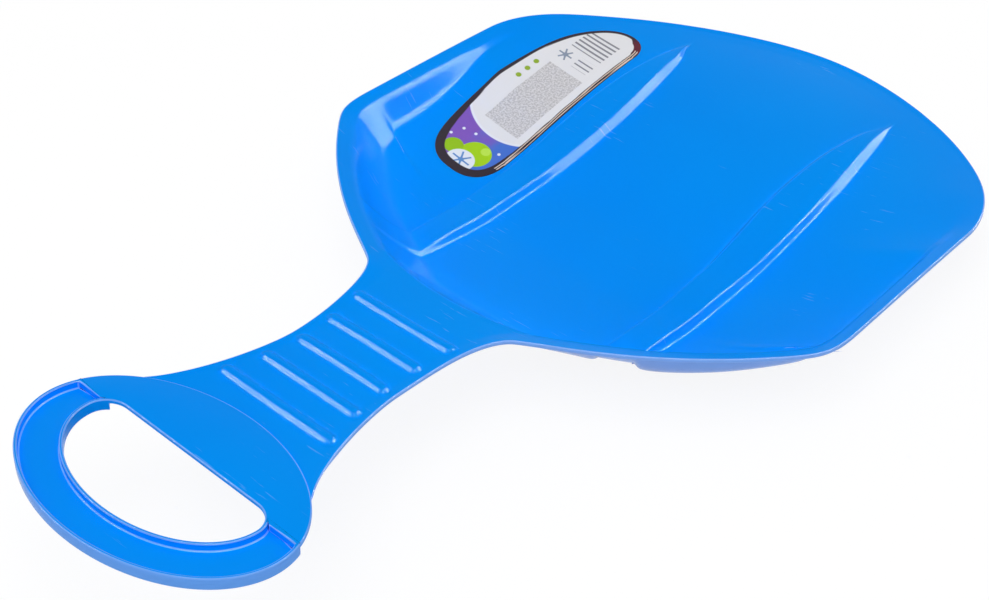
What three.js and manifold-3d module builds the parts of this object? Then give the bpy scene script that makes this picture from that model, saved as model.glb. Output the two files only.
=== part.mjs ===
// Snow slider sled: a moulded seat pan with two hollow ridges, a ribbed neck, a ring handle whose front
// is a gutter-shaped grip, and an adhesive film label on the seat.
// Millimetres, +Z up, +Y towards the tail, +X to the right of a rider who looks at the tail.
// It is drawn with the tail edge at y = 0 and the neck level at z = 0, and at the end it is set down
// on the flat of its belly. Distances along it are measured forward from the tail edge.
import * as THREE from "three";
import { mergeVertices } from "three/addons/utils/BufferGeometryUtils.js";
import Module from "manifold-3d";

// Sheet and clearances
const wall = 2.4;
const edgeRound = 0.8;
const touchGap = 0.3;
const overrun = 5;
const restAngle = THREE.MathUtils.degToRad(7.5);

// Plan outline of the pan
const frontHalfWidth = 171.5;
const sideFlare = 1.7;
const rearHalfWidth = frontHalfWidth - sideFlare;
const tailCurveLength = 126.5;
const tailCornerPullShare = 0.411;
const tailSidePull = 59.6;
const sideLength = 102.2;
const sideEnd = tailCurveLength + sideLength;
const cornerPullBack = 18.1;
const cornerPullFront = 16.7;
const cornerInset = 14.2;
const cornerHalfWidth = frontHalfWidth - cornerInset;
const cornerLength = 35.2;
const cornerEnd = sideEnd + cornerLength;
const cornerAngle = THREE.MathUtils.degToRad(43.2);

// Plan outline of the front wings and the neck
const wingLength = 74;
const wingPullBack = 64.8;
const wingPullFront = 19.7;
const rootHalfWidth = 52.3;
const rootStart = cornerEnd + wingLength;
const rootAngle = THREE.MathUtils.degToRad(59.1);
const rootPull = 15.6;
const waistHalfWidth = 36.2;
const rootLength = 62.3;
const waistStation = rootStart + rootLength;
const waistPullBack = 20.5;
const waistPullFront = 16.2;

// Ring handle and its gutter-shaped grip, and the place where the neck runs into the ring
const waistToHandle = 56.2;
const handleStart = waistStation + waistToHandle;
const handleHalfWidth = 81.5;
const handleHalfDepth = 51.8;
const handleCentre = handleStart + handleHalfDepth;
const handleAngle = THREE.MathUtils.degToRad(3.1);
const handleStep = 1.1;
const handleLap = 4;
const gripBack = 13.2;
const gripHeight = 6.2;
const gripDepth = 4;
const gripWall = 1.8;
const neckEndInset = 20.5;
const neckEndHalfWidth = handleHalfWidth - neckEndInset;
const neckEndAngle = THREE.MathUtils.degToRad(41.4);
const neckEndPull = 23.9;

// Height of the rim above the neck, from the tail forward
const tailRimHeight = 11.8;
const shoulderToSide = 75.5;
const shoulderStation = tailCurveLength - shoulderToSide;
const shoulderRimHeight = 16;
const crestToSide = 31.5;
const crestStation = tailCurveLength - crestToSide;
const crestRimHeight = 20.5;
const sideOffset = 17.5;
const sideStation = tailCurveLength + sideOffset;
const sideRimHeight = 19.2;
const frontOffset = 18.3;
const frontStation = sideEnd + frontOffset;
const frontRimHeight = 12.5;
const rootOffset = 8.1;
const rootStation = rootStart + rootOffset;
const rootRimHeight = 5.2;
const waistRimHeight = 0.3;
const neckEndDrop = 0.5;

// Rim flange, and the wall inside it that drops to the floor
const tailFlange = 3.5;
const tailFlangeDrop = 0.9;
const sideFlange = 8.5;
const sideFlangeDrop = 4;
const frontFlange = 10.3;
const frontFlangeDrop = 2.8;
const tailWallRun = 8;
const tailWallDrop = 0.3;
const rearWallDrop = 3;
const sideWallRun = 10;
const frontWallRun = 22;
const creaseWallRun = 28;
const panelDrop = 16.3;
const panelRearOffset = 28.5;
const panelRear = tailCurveLength + panelRearOffset;
const panelFrontOffset = 13.7;
const panelFront = sideEnd - panelFrontOffset;
const panelEndOffset = 4.7;
const panelEnd = sideEnd - panelEndOffset;
const panelEndStep = 12;
const wallTurnSpread = 25;
const frontWallBend = 1.7;
const flangeChangeLength = 70;
const flangeChangeOffset = 23.5;
const flangeChangeEnd = tailCurveLength + flangeChangeOffset;
const flangeChangeStart = flangeChangeEnd - flangeChangeLength;

// Floor: its level under the front wall follows from the belly flat
const bellyFlatOffset = 10.7;
const bellyFlatStation = sideEnd - bellyFlatOffset;
const bellyFlatLength = 32;
const bellyFlatDepth = 22.3;
const bellyBendLength = 12;
const bellyPlaning = 0.15;
const bellyPull = 35;
const floorCrestStation = 30;
const floorCrestHeight = 12;
const floorCrestPull = 75;
const floorTailDroop = 1;
const floorSideRise = 17.3;
const floorSideHalfWidth = frontHalfWidth - sideFlange - sideWallRun;
const floorSideCurve = 1.3;

// Crease at the top of the front wall, where the pan meets the neck
const creaseSetback = 5.6;
const creaseStation = rootStart - creaseSetback;
const creaseOverhang = 1.7;
const creaseHalfWidth = rootHalfWidth + creaseOverhang;
const creaseHeight = 2.3;

// The two seat ridges
const ridgeOuterHalfWidth = 87;
const ridgeWidth = 26.5;
const ridgeInnerHalfWidth = ridgeOuterHalfWidth - ridgeWidth;
const ridgeWallRun = 2;
const ridgeHeight = 6.8;
const ridgeFrontOffset = 21.3;
const ridgeFadeStart = sideEnd + ridgeFrontOffset;
const ridgeTailOffset = 68.5;
const ridgeFadeEnd = tailCurveLength - ridgeTailOffset;

// Corners of the floor's net: where its tail and its front edge turn into its side
const floorTailCornerShare = 0.314;
const floorTailCorner = ridgeOuterHalfWidth + floorTailCornerShare * (rearHalfWidth - ridgeOuterHalfWidth);
const floorFrontInset = 23.3;
const floorFrontCorner = cornerHalfWidth - floorFrontInset;

// Neck: its centre line sags a little below its edges
const neckMidOffset = 27.1;
const neckMidStation = rootStart + neckMidOffset;
const neckMidHeight = 2.2;
const neckWaistHeight = 0.2;
const neckLowHeight = -2.1;
const neckEdgeWidth = 6;
const neckEdgeDrop = 0.6;
const neckSoftenShare = 0.3;
const plateBowShare = 0.5;

// Grip ribs across the neck
const ribCount = 5;
const firstRibOffset = 23.6;
const firstRibStation = rootStart + firstRibOffset;
const ribPitch = 20.1;
const ribWidth = 7.5;
const ribHeight = 2;
const ribMargin = 4.4;

// Hand hole: a straight back edge, two round corners and half an ellipse in front
const holeBack = 16.2;
const holeWidestLine = 5.2;
const gripSideWidth = 21.7;
const holeHalfWidth = handleHalfWidth - gripSideWidth;
const gripFrontWidth = 20;
const holeFrontReach = handleHalfDepth + holeWidestLine - gripFrontWidth;
const holeCornerReach = 12.8;

// Film label on the left of the seat
const labelFilm = 0.4;
const labelOffRidge = 3;
const labelOffWing = 11;
const labelWidth = floorSideHalfWidth - ridgeOuterHalfWidth - labelOffRidge - labelOffWing;
const labelRearOffset = 64;
const labelRear = tailCurveLength - labelRearOffset;
const labelOffFront = 5;
const labelLength = panelEnd - labelRear - labelOffFront;

// Fineness of the mesh: cells along each stretch
const centreCells = 4;
const ridgeTopCells = 2;
const outerCells = 6;
const rearRowCells = 16;
const frontRowCells = 8;
const wallCells = 4;
const neckCells = 14;
const labelBendCells = 12;
const labelInwardCells = 9;
const ringCells = 60;
const gripCells = 38;
const holeFrontCells = 32;
const holeCornerCells = 6;
const ribEndCells = 8;
const halvingCount = 36;
const weldShare = 0.001;
const steadyShare = 0.03;

const { Vector2, Vector3 } = THREE;
const mix = (from, to, share) => from + (to - from) * share;
const clamp = (share) => Math.min(1, Math.max(0, share));
const ease = (share) => clamp(share) ** 2 * (3 - 2 * clamp(share));
const between = (value, from, to) => (value - from) / (to - from);
const counted = (cells) => Array.from({ length: cells + 1 }, (_, step) => step / cells);

// Where a function that rises from below zero to above it passes through zero
function crossing(rising, low, high) {
  let [below, above] = [low, high];
  for (let round = 0; round < halvingCount; round += 1) {
    const middle = (below + above) / 2;
    if (rising(middle) < 0) below = middle;
    else above = middle;
  }
  return (below + above) / 2;
}

// Height of a side-view curve at a station: the curve runs forward, and its points are (station, height)
function heightOn(path, station) {
  const share = crossing((s) => path.getPoint(s).x - station, 0, 1);
  return path.getPoint(share).y;
}

// Back edge of the handle's plate, seen from above, and where the neck's edges run into it
function plateBack(halfWidth) {
  return handleHalfDepth * Math.sqrt(1 - (halfWidth / handleHalfWidth) ** 2) - handleCentre;
}

const neckEnd = -plateBack(neckEndHalfWidth);

// Outline of the right half, seen from above, from the middle of the tail to the end of the neck
const forwardAndIn = (angle) => new Vector2(-Math.sin(angle), -Math.cos(angle));
const moved = (start, direction, distance) => start.clone().addScaledVector(direction, distance);

function makeOutline() {
  const tail = new Vector2(0, 0);
  const side = new Vector2(rearHalfWidth, -tailCurveLength);
  const sideFront = new Vector2(frontHalfWidth, -sideEnd);
  const corner = new Vector2(cornerHalfWidth, -cornerEnd);
  const root = new Vector2(rootHalfWidth, -rootStart);
  const waist = new Vector2(waistHalfWidth, -waistStation);
  const end = new Vector2(neckEndHalfWidth, -neckEnd);
  const forward = new Vector2(0, -1);
  const cornerWay = forwardAndIn(cornerAngle);
  const rootWay = forwardAndIn(rootAngle);
  const endWay = new Vector2(Math.sin(neckEndAngle), -Math.cos(neckEndAngle));
  const outline = new THREE.CurvePath();
  const bend = (...points) => outline.add(new THREE.CubicBezierCurve(...points));
  const tailPull = new Vector2(rearHalfWidth * tailCornerPullShare, 0);
  bend(tail, tailPull, moved(side, forward, -tailSidePull), side);
  outline.add(new THREE.LineCurve(side, sideFront));
  const cornerPull = moved(sideFront, forward, cornerPullBack);
  bend(sideFront, cornerPull, moved(corner, cornerWay, -cornerPullFront), corner);
  bend(corner, moved(corner, cornerWay, wingPullBack), moved(root, rootWay, -wingPullFront), root);
  bend(root, moved(root, rootWay, rootPull), moved(waist, forward, -waistPullBack), waist);
  bend(waist, moved(waist, forward, waistPullFront), moved(end, endWay, -neckEndPull), end);
  return outline;
}

// Side view of the rim, of the seat's centre line and of the neck's centre line
function makeRimLine() {
  return new THREE.SplineCurve([
    new Vector2(0, tailRimHeight),
    new Vector2(shoulderStation, shoulderRimHeight),
    new Vector2(crestStation, crestRimHeight),
    new Vector2(sideStation, sideRimHeight),
    new Vector2(frontStation, frontRimHeight),
    new Vector2(rootStation, rootRimHeight),
    new Vector2(waistStation, waistRimHeight),
    new Vector2(neckEnd, waistRimHeight - neckEndDrop),
  ]);
}

function makeFloorLine() {
  const slope = Math.tan(restAngle);
  const halfFlat = bellyFlatLength / 2;
  const flatRear = new Vector2(bellyFlatStation - halfFlat, slope * halfFlat - bellyFlatDepth);
  const flatFront = new Vector2(bellyFlatStation + halfFlat, -slope * halfFlat - bellyFlatDepth);
  const bend = new Vector2(flatFront.x + bellyBendLength / 2, flatFront.y - (slope * bellyBendLength) / 2);
  const levelStart = new Vector2(bend.x + bellyBendLength / 2, bend.y);
  const crest = new Vector2(floorCrestStation, floorCrestHeight);
  const line = new THREE.CurvePath();
  line.add(
    new THREE.QuadraticBezierCurve(
      new Vector2(0, floorCrestHeight - floorTailDroop),
      new Vector2(floorCrestStation / 2, floorCrestHeight),
      crest,
    ),
  );
  line.add(
    new THREE.CubicBezierCurve(
      crest,
      new Vector2(crest.x + floorCrestPull, crest.y),
      new Vector2(flatRear.x - bellyPull, flatRear.y + slope * bellyPull),
      flatRear,
    ),
  );
  line.add(new THREE.LineCurve(flatRear, flatFront));
  line.add(new THREE.QuadraticBezierCurve(flatFront, bend, levelStart));
  line.add(new THREE.LineCurve(levelStart, new Vector2(creaseStation, levelStart.y)));
  return line;
}

function makeNeckLine() {
  return new THREE.SplineCurve([
    new Vector2(creaseStation, creaseHeight),
    new Vector2(neckMidStation, neckMidHeight),
    new Vector2(waistStation, neckWaistHeight),
    new Vector2(handleStart, neckLowHeight),
    new Vector2(neckEnd, neckLowHeight),
  ]);
}

const outline = makeOutline();
const rimLine = makeRimLine();
const floorLine = makeFloorLine();
const neckLine = makeNeckLine();
const outlineLength = outline.getLength();
const stationOn = (share) => -outline.getPoint(share).y;
const shareAtStation = (station) => crossing((share) => stationOn(share) - station, 0, 1);

// Direction into the sled at a share of the outline, square to a chord that reaches as far each way
function inwardAt(share, reach) {
  const step = reach / outlineLength;
  const ahead = outline.getPoint(Math.min(1, share + step));
  const behind = outline.getPoint(Math.abs(share - step));
  if (share < step) behind.x = -behind.x;
  return new Vector2(ahead.y - behind.y, behind.x - ahead.x).normalize();
}

// Floor height at a point: the side-view line, the ridges' rise and the dish outside the ridges
function ridgeRise(station) {
  const along = clamp(between(station, ridgeFadeStart, ridgeFadeEnd));
  return ridgeHeight * (1 - along ** 2);
}

function floorHeight(halfWidth, station, onRidge) {
  const outward = Math.max(0, between(halfWidth, ridgeOuterHalfWidth, floorSideHalfWidth));
  const dish = floorSideRise * outward ** floorSideCurve;
  return heightOn(floorLine, station) + dish + (onRidge ? ridgeRise(station) : 0);
}

// One station of the rim: the points from the edge inward over flange and wall to the floor
function rimStation(share, onRidge = false) {
  const edge = outline.getPoint(share);
  const inward = inwardAt(share, edgeRound);
  const station = -edge.y;
  const toSide = ease(between(station, flangeChangeStart, flangeChangeEnd));
  const toFront = ease(between(station, panelEnd, cornerEnd));
  const pastPanel = ease(between(station, panelEnd, panelEnd + panelEndStep));
  const toRoot = ease(between(station, cornerEnd, rootStart));
  const flange = mix(mix(tailFlange, sideFlange, toSide), frontFlange, toFront);
  const flangeDrop = mix(mix(tailFlangeDrop, sideFlangeDrop, toSide), frontFlangeDrop, toRoot);
  const run = mix(mix(mix(tailWallRun, sideWallRun, toSide), frontWallRun, pastPanel), creaseWallRun, toRoot);
  const rim = heightOn(rimLine, station);
  const top = rim - flangeDrop;
  const flangeEdge = moved(edge, inward, flange);
  const foot = moved(flangeEdge, inwardAt(share, wallTurnSpread), run);
  const alongPanel = clamp(between(station, panelFront, panelRear));
  const rearDrop = mix(tailWallDrop, rearWallDrop, ease(between(station, 0, flangeChangeEnd)));
  const drop = Math.max(rearDrop, panelDrop * (1 - alongPanel ** 2));
  const footHeight = mix(top - drop, floorHeight(foot.x, -foot.y, onRidge), pastPanel);
  const at = (spot, height) => new Vector3(spot.x, spot.y, height);
  const wallPoint = (part) => {
    const height = mix(footHeight, top, (1 - part) ** mix(1, frontWallBend, pastPanel));
    return at(flangeEdge.clone().lerp(foot, part), height);
  };
  const round = moved(edge, inward, edgeRound);
  return [at(edge, rim - edgeRound), at(round, rim), ...counted(wallCells).map(wallPoint)];
}

const footOf = (station) => station[station.length - 1];
const flangeEdgeOf = (station) => station[2];

// The rim station whose wall foot lies at a given half width
function rimStationWithFoot(halfWidth, from, to, onRidge) {
  const direction = footOf(rimStation(from)).x < footOf(rimStation(to)).x ? 1 : -1;
  const rising = (share) => direction * (footOf(rimStation(share)).x - halfWidth);
  return rimStation(crossing(rising, from, to), onRidge);
}

// Columns of the floor, from the centre line outward: half widths, with the ridge tops marked
function makeColumns(creaseFootHalfWidth) {
  const columns = counted(centreCells).map((part) => ({ x: creaseFootHalfWidth * part }));
  columns.push({ x: (creaseFootHalfWidth + ridgeInnerHalfWidth) / 2 });
  columns.push({ x: ridgeInnerHalfWidth });
  const [topFrom, topTo] = [ridgeInnerHalfWidth + ridgeWallRun, ridgeOuterHalfWidth - ridgeWallRun];
  for (const part of counted(ridgeTopCells)) {
    columns.push({ x: mix(topFrom, topTo, part), onRidge: true });
  }
  columns.push({ x: ridgeOuterHalfWidth });
  return columns;
}

// The crease that ends the neck: an arc in plan, from the centre line to the inner edge of the flange
function creaseColumn(part, last) {
  const end = flangeEdgeOf(last);
  const foot = footOf(last);
  const top = new Vector3(
    end.x * part,
    mix(-creaseStation, end.y, part ** 2),
    mix(creaseHeight, end.z, part ** 2),
  );
  const bottom = new Vector3(foot.x * part, mix(creaseWallRun - creaseStation, foot.y, part ** 2), 0);
  bottom.z = floorHeight(bottom.x, -bottom.y, false);
  return counted(wallCells).map((down) => {
    const spot = top.clone().lerp(bottom, down);
    spot.z = mix(bottom.z, top.z, (1 - down) ** frontWallBend);
    return spot;
  });
}

// Triangles over a net of points, given as rows; all faces look up
function netTriangles(rows) {
  const triangles = [];
  const corner = (a, b, c) => {
    const lift = (b.x - a.x) * (c.y - a.y) - (b.y - a.y) * (c.x - a.x);
    triangles.push(lift > 0 ? [a, b, c] : [a, c, b]);
  };
  for (let r = 0; r + 1 < rows.length; r += 1) {
    for (let k = 0; k + 1 < rows[r].length; k += 1) {
      const [a, b, c, d] = [rows[r][k], rows[r][k + 1], rows[r + 1][k + 1], rows[r + 1][k]];
      if (a.distanceTo(c) < b.distanceTo(d)) {
        corner(a, b, c);
        corner(a, c, d);
      } else {
        corner(a, b, d);
        corner(b, c, d);
      }
    }
  }
  return triangles;
}

// Upper surface of the right half: floor, ring of walls and flange, and neck
function makeHalfSurface() {
  const sideShare = shareAtStation(panelEnd);
  const creaseShare = crossing(
    (share) => creaseHalfWidth - flangeEdgeOf(rimStation(share)).x,
    shareAtStation(cornerEnd),
    shareAtStation(rootStart),
  );
  const creaseEnd = rimStation(creaseShare);
  const columns = makeColumns(footOf(creaseEnd).x);
  const ridgeEdge = columns.length - 1;
  const outerShares = counted(outerCells).slice(1);

  // Stations along the tail and along the front, one for each column
  const tailFrom = (column) => rimStationWithFoot(column.x, 0, sideShare, false);
  const tail = columns.map((column) => (column.x > 0 ? tailFrom(column) : rimStation(0)));
  const frontFrom = (column) => rimStationWithFoot(column.x, sideShare, creaseShare, column.onRidge);
  const front = columns.map((column, k) => (k <= centreCells ? null : frontFrom(column)));
  for (const part of outerShares) {
    tail.push(tailFrom({ x: mix(ridgeOuterHalfWidth, floorTailCorner, part) }));
    front.push(frontFrom({ x: mix(ridgeOuterHalfWidth, floorFrontCorner, part) }));
  }
  const crease = counted(centreCells).map((part) => creaseColumn(part, creaseEnd));
  const frontFoot = front.map((station, k) => footOf(station ?? crease[k]));
  const tailFoot = tail.map(footOf);

  // Stations along the side, one for each row
  const cornerShare = (foot, from, to, direction) =>
    crossing((share) => direction * (footOf(rimStation(share)).x - foot.x), from, to);
  const last = tailFoot.length - 1;
  const shareFrom = cornerShare(tailFoot[last], 0, sideShare, 1);
  const shareTo = cornerShare(frontFoot[last], sideShare, creaseShare, -1);
  const stepShare = shareAtStation(panelEnd + panelEndStep);
  const sideShares = [
    ...counted(rearRowCells).map((part) => mix(shareFrom, sideShare, part)),
    ...counted(frontRowCells).map((part) => mix(stepShare, shareTo, part)),
  ];
  const side = sideShares.map((share) => rimStation(share));

  // Floor net: its rows bow near the tail and near the front wall, and run straight between
  const floor = side.map((station, r) => {
    const along = between(sideShares[r], shareFrom, shareTo);
    const [nearTail, nearFront] = [(1 - along) ** 2, along ** 3];
    const centre = mix(tailFoot[0].y, frontFoot[0].y, along);
    const foot = footOf(station);
    const row = columns.map((column, k) => {
      const y =
        centre + (tailFoot[k].y - tailFoot[0].y) * nearTail + (frontFoot[k].y - frontFoot[0].y) * nearFront;
      const tailFix = tailFoot[k].z - floorHeight(column.x, -tailFoot[k].y, false);
      return new Vector3(column.x, y, floorHeight(column.x, -y, column.onRidge) + tailFix * nearTail);
    });
    const start = row[ridgeEdge];
    outerShares.forEach((part, step) => {
      const k = ridgeEdge + 1 + step;
      const offLine = (feet) => feet[k].clone().sub(feet[ridgeEdge].clone().lerp(feet[last], part));
      const spot = start.clone().lerp(foot, part);
      spot.addScaledVector(offLine(tailFoot), nearTail).addScaledVector(offLine(frontFoot), nearFront);
      const level = (point) => heightOn(floorLine, -point.y);
      const rise = (edge) => (edge.z - level(edge)) * part ** floorSideCurve;
      const tailFix = tailFoot[k].z - level(tailFoot[k]) - rise(tailFoot[last]);
      spot.z = level(spot) + rise(foot) + tailFix * nearTail;
      row.push(spot);
    });
    return row;
  });

  // Neck net: from the crease to the back edge of the handle's plate, and a lap under it
  const creaseRow = [...crease.map((station) => station[0]), creaseEnd[1], creaseEnd[0]];
  const neck = counted(neckCells).map((along) => {
    if (along === 0) return creaseRow;
    const share = mix(creaseShare, 1, along);
    const edge = outline.getPoint(share);
    const rim = heightOn(rimLine, -edge.y);
    const soften = ease(between(along, 0, neckSoftenShare));
    const inward = inwardAt(share, edgeRound).lerp(new Vector2(-1, 0), soften).normalize();
    const inner = moved(edge, inward, mix(frontFlange, neckEdgeWidth, soften));
    const innerHeight = rim - mix(frontFlangeDrop, neckEdgeDrop, soften);
    const middle = mix(-creaseStation, plateBack(0), along);
    const toPlate = ease(between(along, plateBowShare, 1));
    const placedAt = (x, y, height) => {
      const out = x / edge.x;
      const plateBow = between(plateBack(neckEndHalfWidth * out), plateBack(0), -neckEnd);
      const bowed = mix(middle, edge.y, mix(out ** 2, plateBow, toPlate));
      return new Vector3(x, mix(y, bowed, soften), height);
    };
    const row = crease.map((_, k) => {
      const part = k / centreCells;
      const y = mix(middle, inner.y, part ** 2);
      return placedAt(inner.x * part, y, mix(heightOn(neckLine, -y), innerHeight, part ** 2));
    });
    const round = moved(edge, inward, edgeRound);
    return [...row, placedAt(round.x, round.y, rim), placedAt(edge.x, edge.y, rim - edgeRound)];
  });
  neck.push(neck[neckCells].map((point) => point.clone().add(new Vector3(0, -handleLap, 0))));

  const frontRing = [creaseEnd, ...front.filter((station) => station)];
  return [...netTriangles(floor), ...[tail, side, frontRing, crease, neck].flatMap(netTriangles)];
}

// A geometry with shared corners, from triangles given as points
function geometryOf(triangles) {
  const geometry = new THREE.BufferGeometry();
  geometry.setFromPoints(triangles.flat());
  return mergeVertices(geometry, wall * weldShare);
}

// Both halves of a surface drawn for the right half
function mirrored(triangles) {
  const flip = (point) => new Vector3(-point.x, point.y, point.z);
  return [...triangles, ...triangles.map(([a, b, c]) => [flip(a), flip(c), flip(b)])];
}

// Closed sheet below an open surface: each corner goes down by the offset that keeps the wall's
// thickness under every face that meets there, and corners on the edge go straight down
function thickened(surface, thickness, edgeThickness) {
  const index = Array.from(surface.index.array);
  const source = surface.attributes.position;
  const count = source.count;
  const points = Array.from({ length: count }, (_, i) => new Vector3().fromBufferAttribute(source, i));
  const faces = index.filter((_, i) => i % 3 === 0).map((_, f) => index.slice(3 * f, 3 * f + 3));
  const normalsAt = points.map(() => []);
  const edges = new Map();
  for (const face of faces) {
    const [a, b, c] = face.map((i) => points[i]);
    const normal = new THREE.Triangle(a, b, c).getNormal(new Vector3());
    face.forEach((i, k) => {
      normalsAt[i].push(normal);
      edges.set(`${i} ${face[(k + 1) % 3]}`, [i, face[(k + 1) % 3]]);
    });
  }
  const rimEdges = [...edges.values()].filter(([from, to]) => !edges.has(`${to} ${from}`));
  const onRim = new Set(rimEdges.flat());
  const lower = points.map((point, i) => {
    if (onRim.has(i)) return point.clone().add(new Vector3(0, 0, -edgeThickness));
    return point.clone().add(wallOffset(normalsAt[i], thickness));
  });
  const corners = [...points, ...lower].flatMap((point) => point.toArray());
  const triangles = [...index];
  for (const [a, b, c] of faces) triangles.push(a + count, c + count, b + count);
  for (const [a, b] of rimEdges) triangles.push(b, a, a + count, b, a + count, b + count);
  const sheet = new THREE.BufferGeometry();
  sheet.setAttribute("position", new THREE.Float32BufferAttribute(corners, 3));
  sheet.setIndex(triangles);
  return sheet;
}

// Least squares offset to the planes that lie one thickness below the given faces
function wallOffset(normals, thickness) {
  const mean = normals.reduce((sum, n) => sum.add(n), new Vector3()).normalize();
  const sums = new Array(9).fill(0);
  const right = mean.clone().multiplyScalar(-thickness * steadyShare);
  for (const n of normals) {
    const parts = n.toArray();
    for (let i = 0; i < 9; i += 1) sums[i] += (parts[i % 3] * parts[Math.floor(i / 3)]) / normals.length;
    right.addScaledVector(n, -thickness / normals.length);
  }
  for (const i of [0, 4, 8]) sums[i] += steadyShare;
  return right.applyMatrix3(new THREE.Matrix3().set(...sums).invert());
}

// Booleans
const wasm = await Module();
wasm.setup();

function solidOf(geometry) {
  const bare = geometry.clone();
  for (const name of Object.keys(bare.attributes)) if (name !== "position") bare.deleteAttribute(name);
  const merged = mergeVertices(bare, wall * weldShare);
  const mesh = new wasm.Mesh({
    numProp: 3,
    vertProperties: new Float32Array(merged.attributes.position.array),
    triVerts: new Uint32Array(merged.index.array),
  });
  return new wasm.Manifold(mesh);
}

function geometryFrom(solid) {
  const mesh = solid.getMesh();
  const geometry = new THREE.BufferGeometry();
  geometry.setAttribute("position", new THREE.BufferAttribute(new Float32Array(mesh.vertProperties), 3));
  geometry.setIndex(new THREE.BufferAttribute(new Uint32Array(mesh.triVerts), 1));
  return geometry;
}

// A slab of a plan outline between two heights, with its top and bottom edges rounded off if asked
function slab(shape, low, high, round = 0) {
  const geometry = new THREE.ExtrudeGeometry(shape, {
    depth: high - low - 2 * round,
    bevelEnabled: round > 0,
    bevelThickness: round,
    bevelSize: round,
    bevelOffset: -round,
    bevelSegments: 1,
  });
  return geometry.translate(0, 0, low + round);
}

// Points on part of an ellipse, counterclockwise, with angles in half turns
function arc(centreX, centreY, radiusX, radiusY, from, to, cells) {
  return counted(cells).map((part) => {
    const angle = Math.PI * mix(from, to, part);
    return new Vector2(centreX + radiusX * Math.cos(angle), centreY + radiusY * Math.sin(angle));
  });
}

// The underside of the belly, planed level where the sled rests
function planeBelly(body) {
  const block = new THREE.BoxGeometry(2 * frontHalfWidth, rootStart, overrun);
  block.translate(0, 0, bellyPlaning - wall - overrun / 2);
  block.rotateX(restAngle);
  block.translate(0, -bellyFlatStation, -bellyFlatDepth);
  return body.subtract(solidOf(block));
}

// Ribs: rounded bars on the neck, each with a groove of the same shape under it
function barShape(halfLength, halfWidth) {
  const straight = halfLength - halfWidth;
  return new THREE.Shape([
    ...arc(straight, 0, halfWidth, halfWidth, -0.5, 0.5, ribEndCells),
    ...arc(-straight, 0, halfWidth, halfWidth, 0.5, 1.5, ribEndCells),
  ]);
}

function addRibs(body) {
  let ribbed = body;
  const placed = (geometry, station) => solidOf(geometry.translate(0, -station, heightOn(neckLine, station)));
  for (let rib = 0; rib < ribCount; rib += 1) {
    const station = firstRibStation + rib * ribPitch;
    const halfLength = outline.getPoint(shareAtStation(station)).x - ribMargin;
    const bar = slab(barShape(halfLength, ribWidth / 2), -wall / 2, ribHeight);
    const grooveShape = barShape(halfLength - wall, ribWidth / 2 - wall + edgeRound);
    const groove = slab(grooveShape, -overrun, ribHeight - wall);
    ribbed = ribbed.add(placed(bar, station)).subtract(placed(groove, station));
  }
  return ribbed;
}

// Handle, in its own plane: the origin is the ring's centre and z = 0 is the top of the plate
function ellipseShape(halfWidth, halfDepth) {
  return new THREE.Shape(arc(0, 0, halfWidth, halfDepth, 0, 2, ringCells).slice(1));
}

// The front part of that ellipse, cut off by a straight line behind
function frontShape(halfWidth, halfDepth, back) {
  const past = Math.asin(back / halfDepth) / Math.PI;
  return new THREE.Shape(arc(0, 0, halfWidth, halfDepth, 1 - past, 2 + past, gripCells));
}

function holeShape(grown) {
  const cornerX = holeHalfWidth - holeCornerReach;
  const [radiusX, radiusY] = [holeCornerReach + grown, holeBack - holeWidestLine + grown];
  const front = arc(0, holeWidestLine, holeHalfWidth + grown, holeFrontReach + grown, 1, 2, holeFrontCells);
  return new THREE.Shape([
    ...arc(cornerX, holeWidestLine, radiusX, radiusY, 0, 0.5, holeCornerCells).slice(1),
    ...arc(-cornerX, holeWidestLine, radiusX, radiusY, 0.5, 1, holeCornerCells).slice(0, -1),
    ...front,
  ]);
}

function addHandle(body) {
  const plateTop = neckLowHeight + handleStep;
  const rear = new Vector3(0, handleHalfDepth - handleCentre, plateTop);
  const place = new THREE.Matrix4()
    .makeTranslation(rear)
    .multiply(new THREE.Matrix4().makeRotationX(-handleAngle))
    .multiply(new THREE.Matrix4().makeTranslation(0, -handleHalfDepth, 0));
  const placed = (geometry) => solidOf(geometry.applyMatrix4(place));
  const plate = slab(ellipseShape(handleHalfWidth, handleHalfDepth), -wall, 0, edgeRound);
  const grip = slab(frontShape(handleHalfWidth, handleHalfDepth, gripBack), -gripHeight, 0, edgeRound);
  const [innerWidth, innerDepth] = [handleHalfWidth - gripWall, handleHalfDepth - gripWall];
  const gutter = slab(frontShape(innerWidth, innerDepth, gripBack - gripWall), -gripDepth, overrun);
  const holeWall = slab(holeShape(gripWall), -gripDepth - overrun, 2 * overrun);
  const hole = slab(holeShape(0), -gripHeight - overrun, overrun);
  const channel = placed(gutter).subtract(placed(holeWall));
  return body.add(placed(plate)).add(placed(grip)).subtract(channel).subtract(placed(hole));
}

// Film label: a patch that follows the floor one touch gap above it
function heightAbove(surface, x, y) {
  const down = new THREE.Ray(new Vector3(x, y, crestRimHeight + overrun), new Vector3(0, 0, -1));
  const position = surface.attributes.position;
  const index = surface.index.array;
  const corner = (i) => new Vector3().fromBufferAttribute(position, index[i]);
  const hit = new Vector3();
  for (let i = 0; i < index.length; i += 3) {
    if (down.intersectTriangle(corner(i), corner(i + 1), corner(i + 2), false, hit)) return hit.z;
  }
  throw new Error("the label lies off the seat");
}

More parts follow.
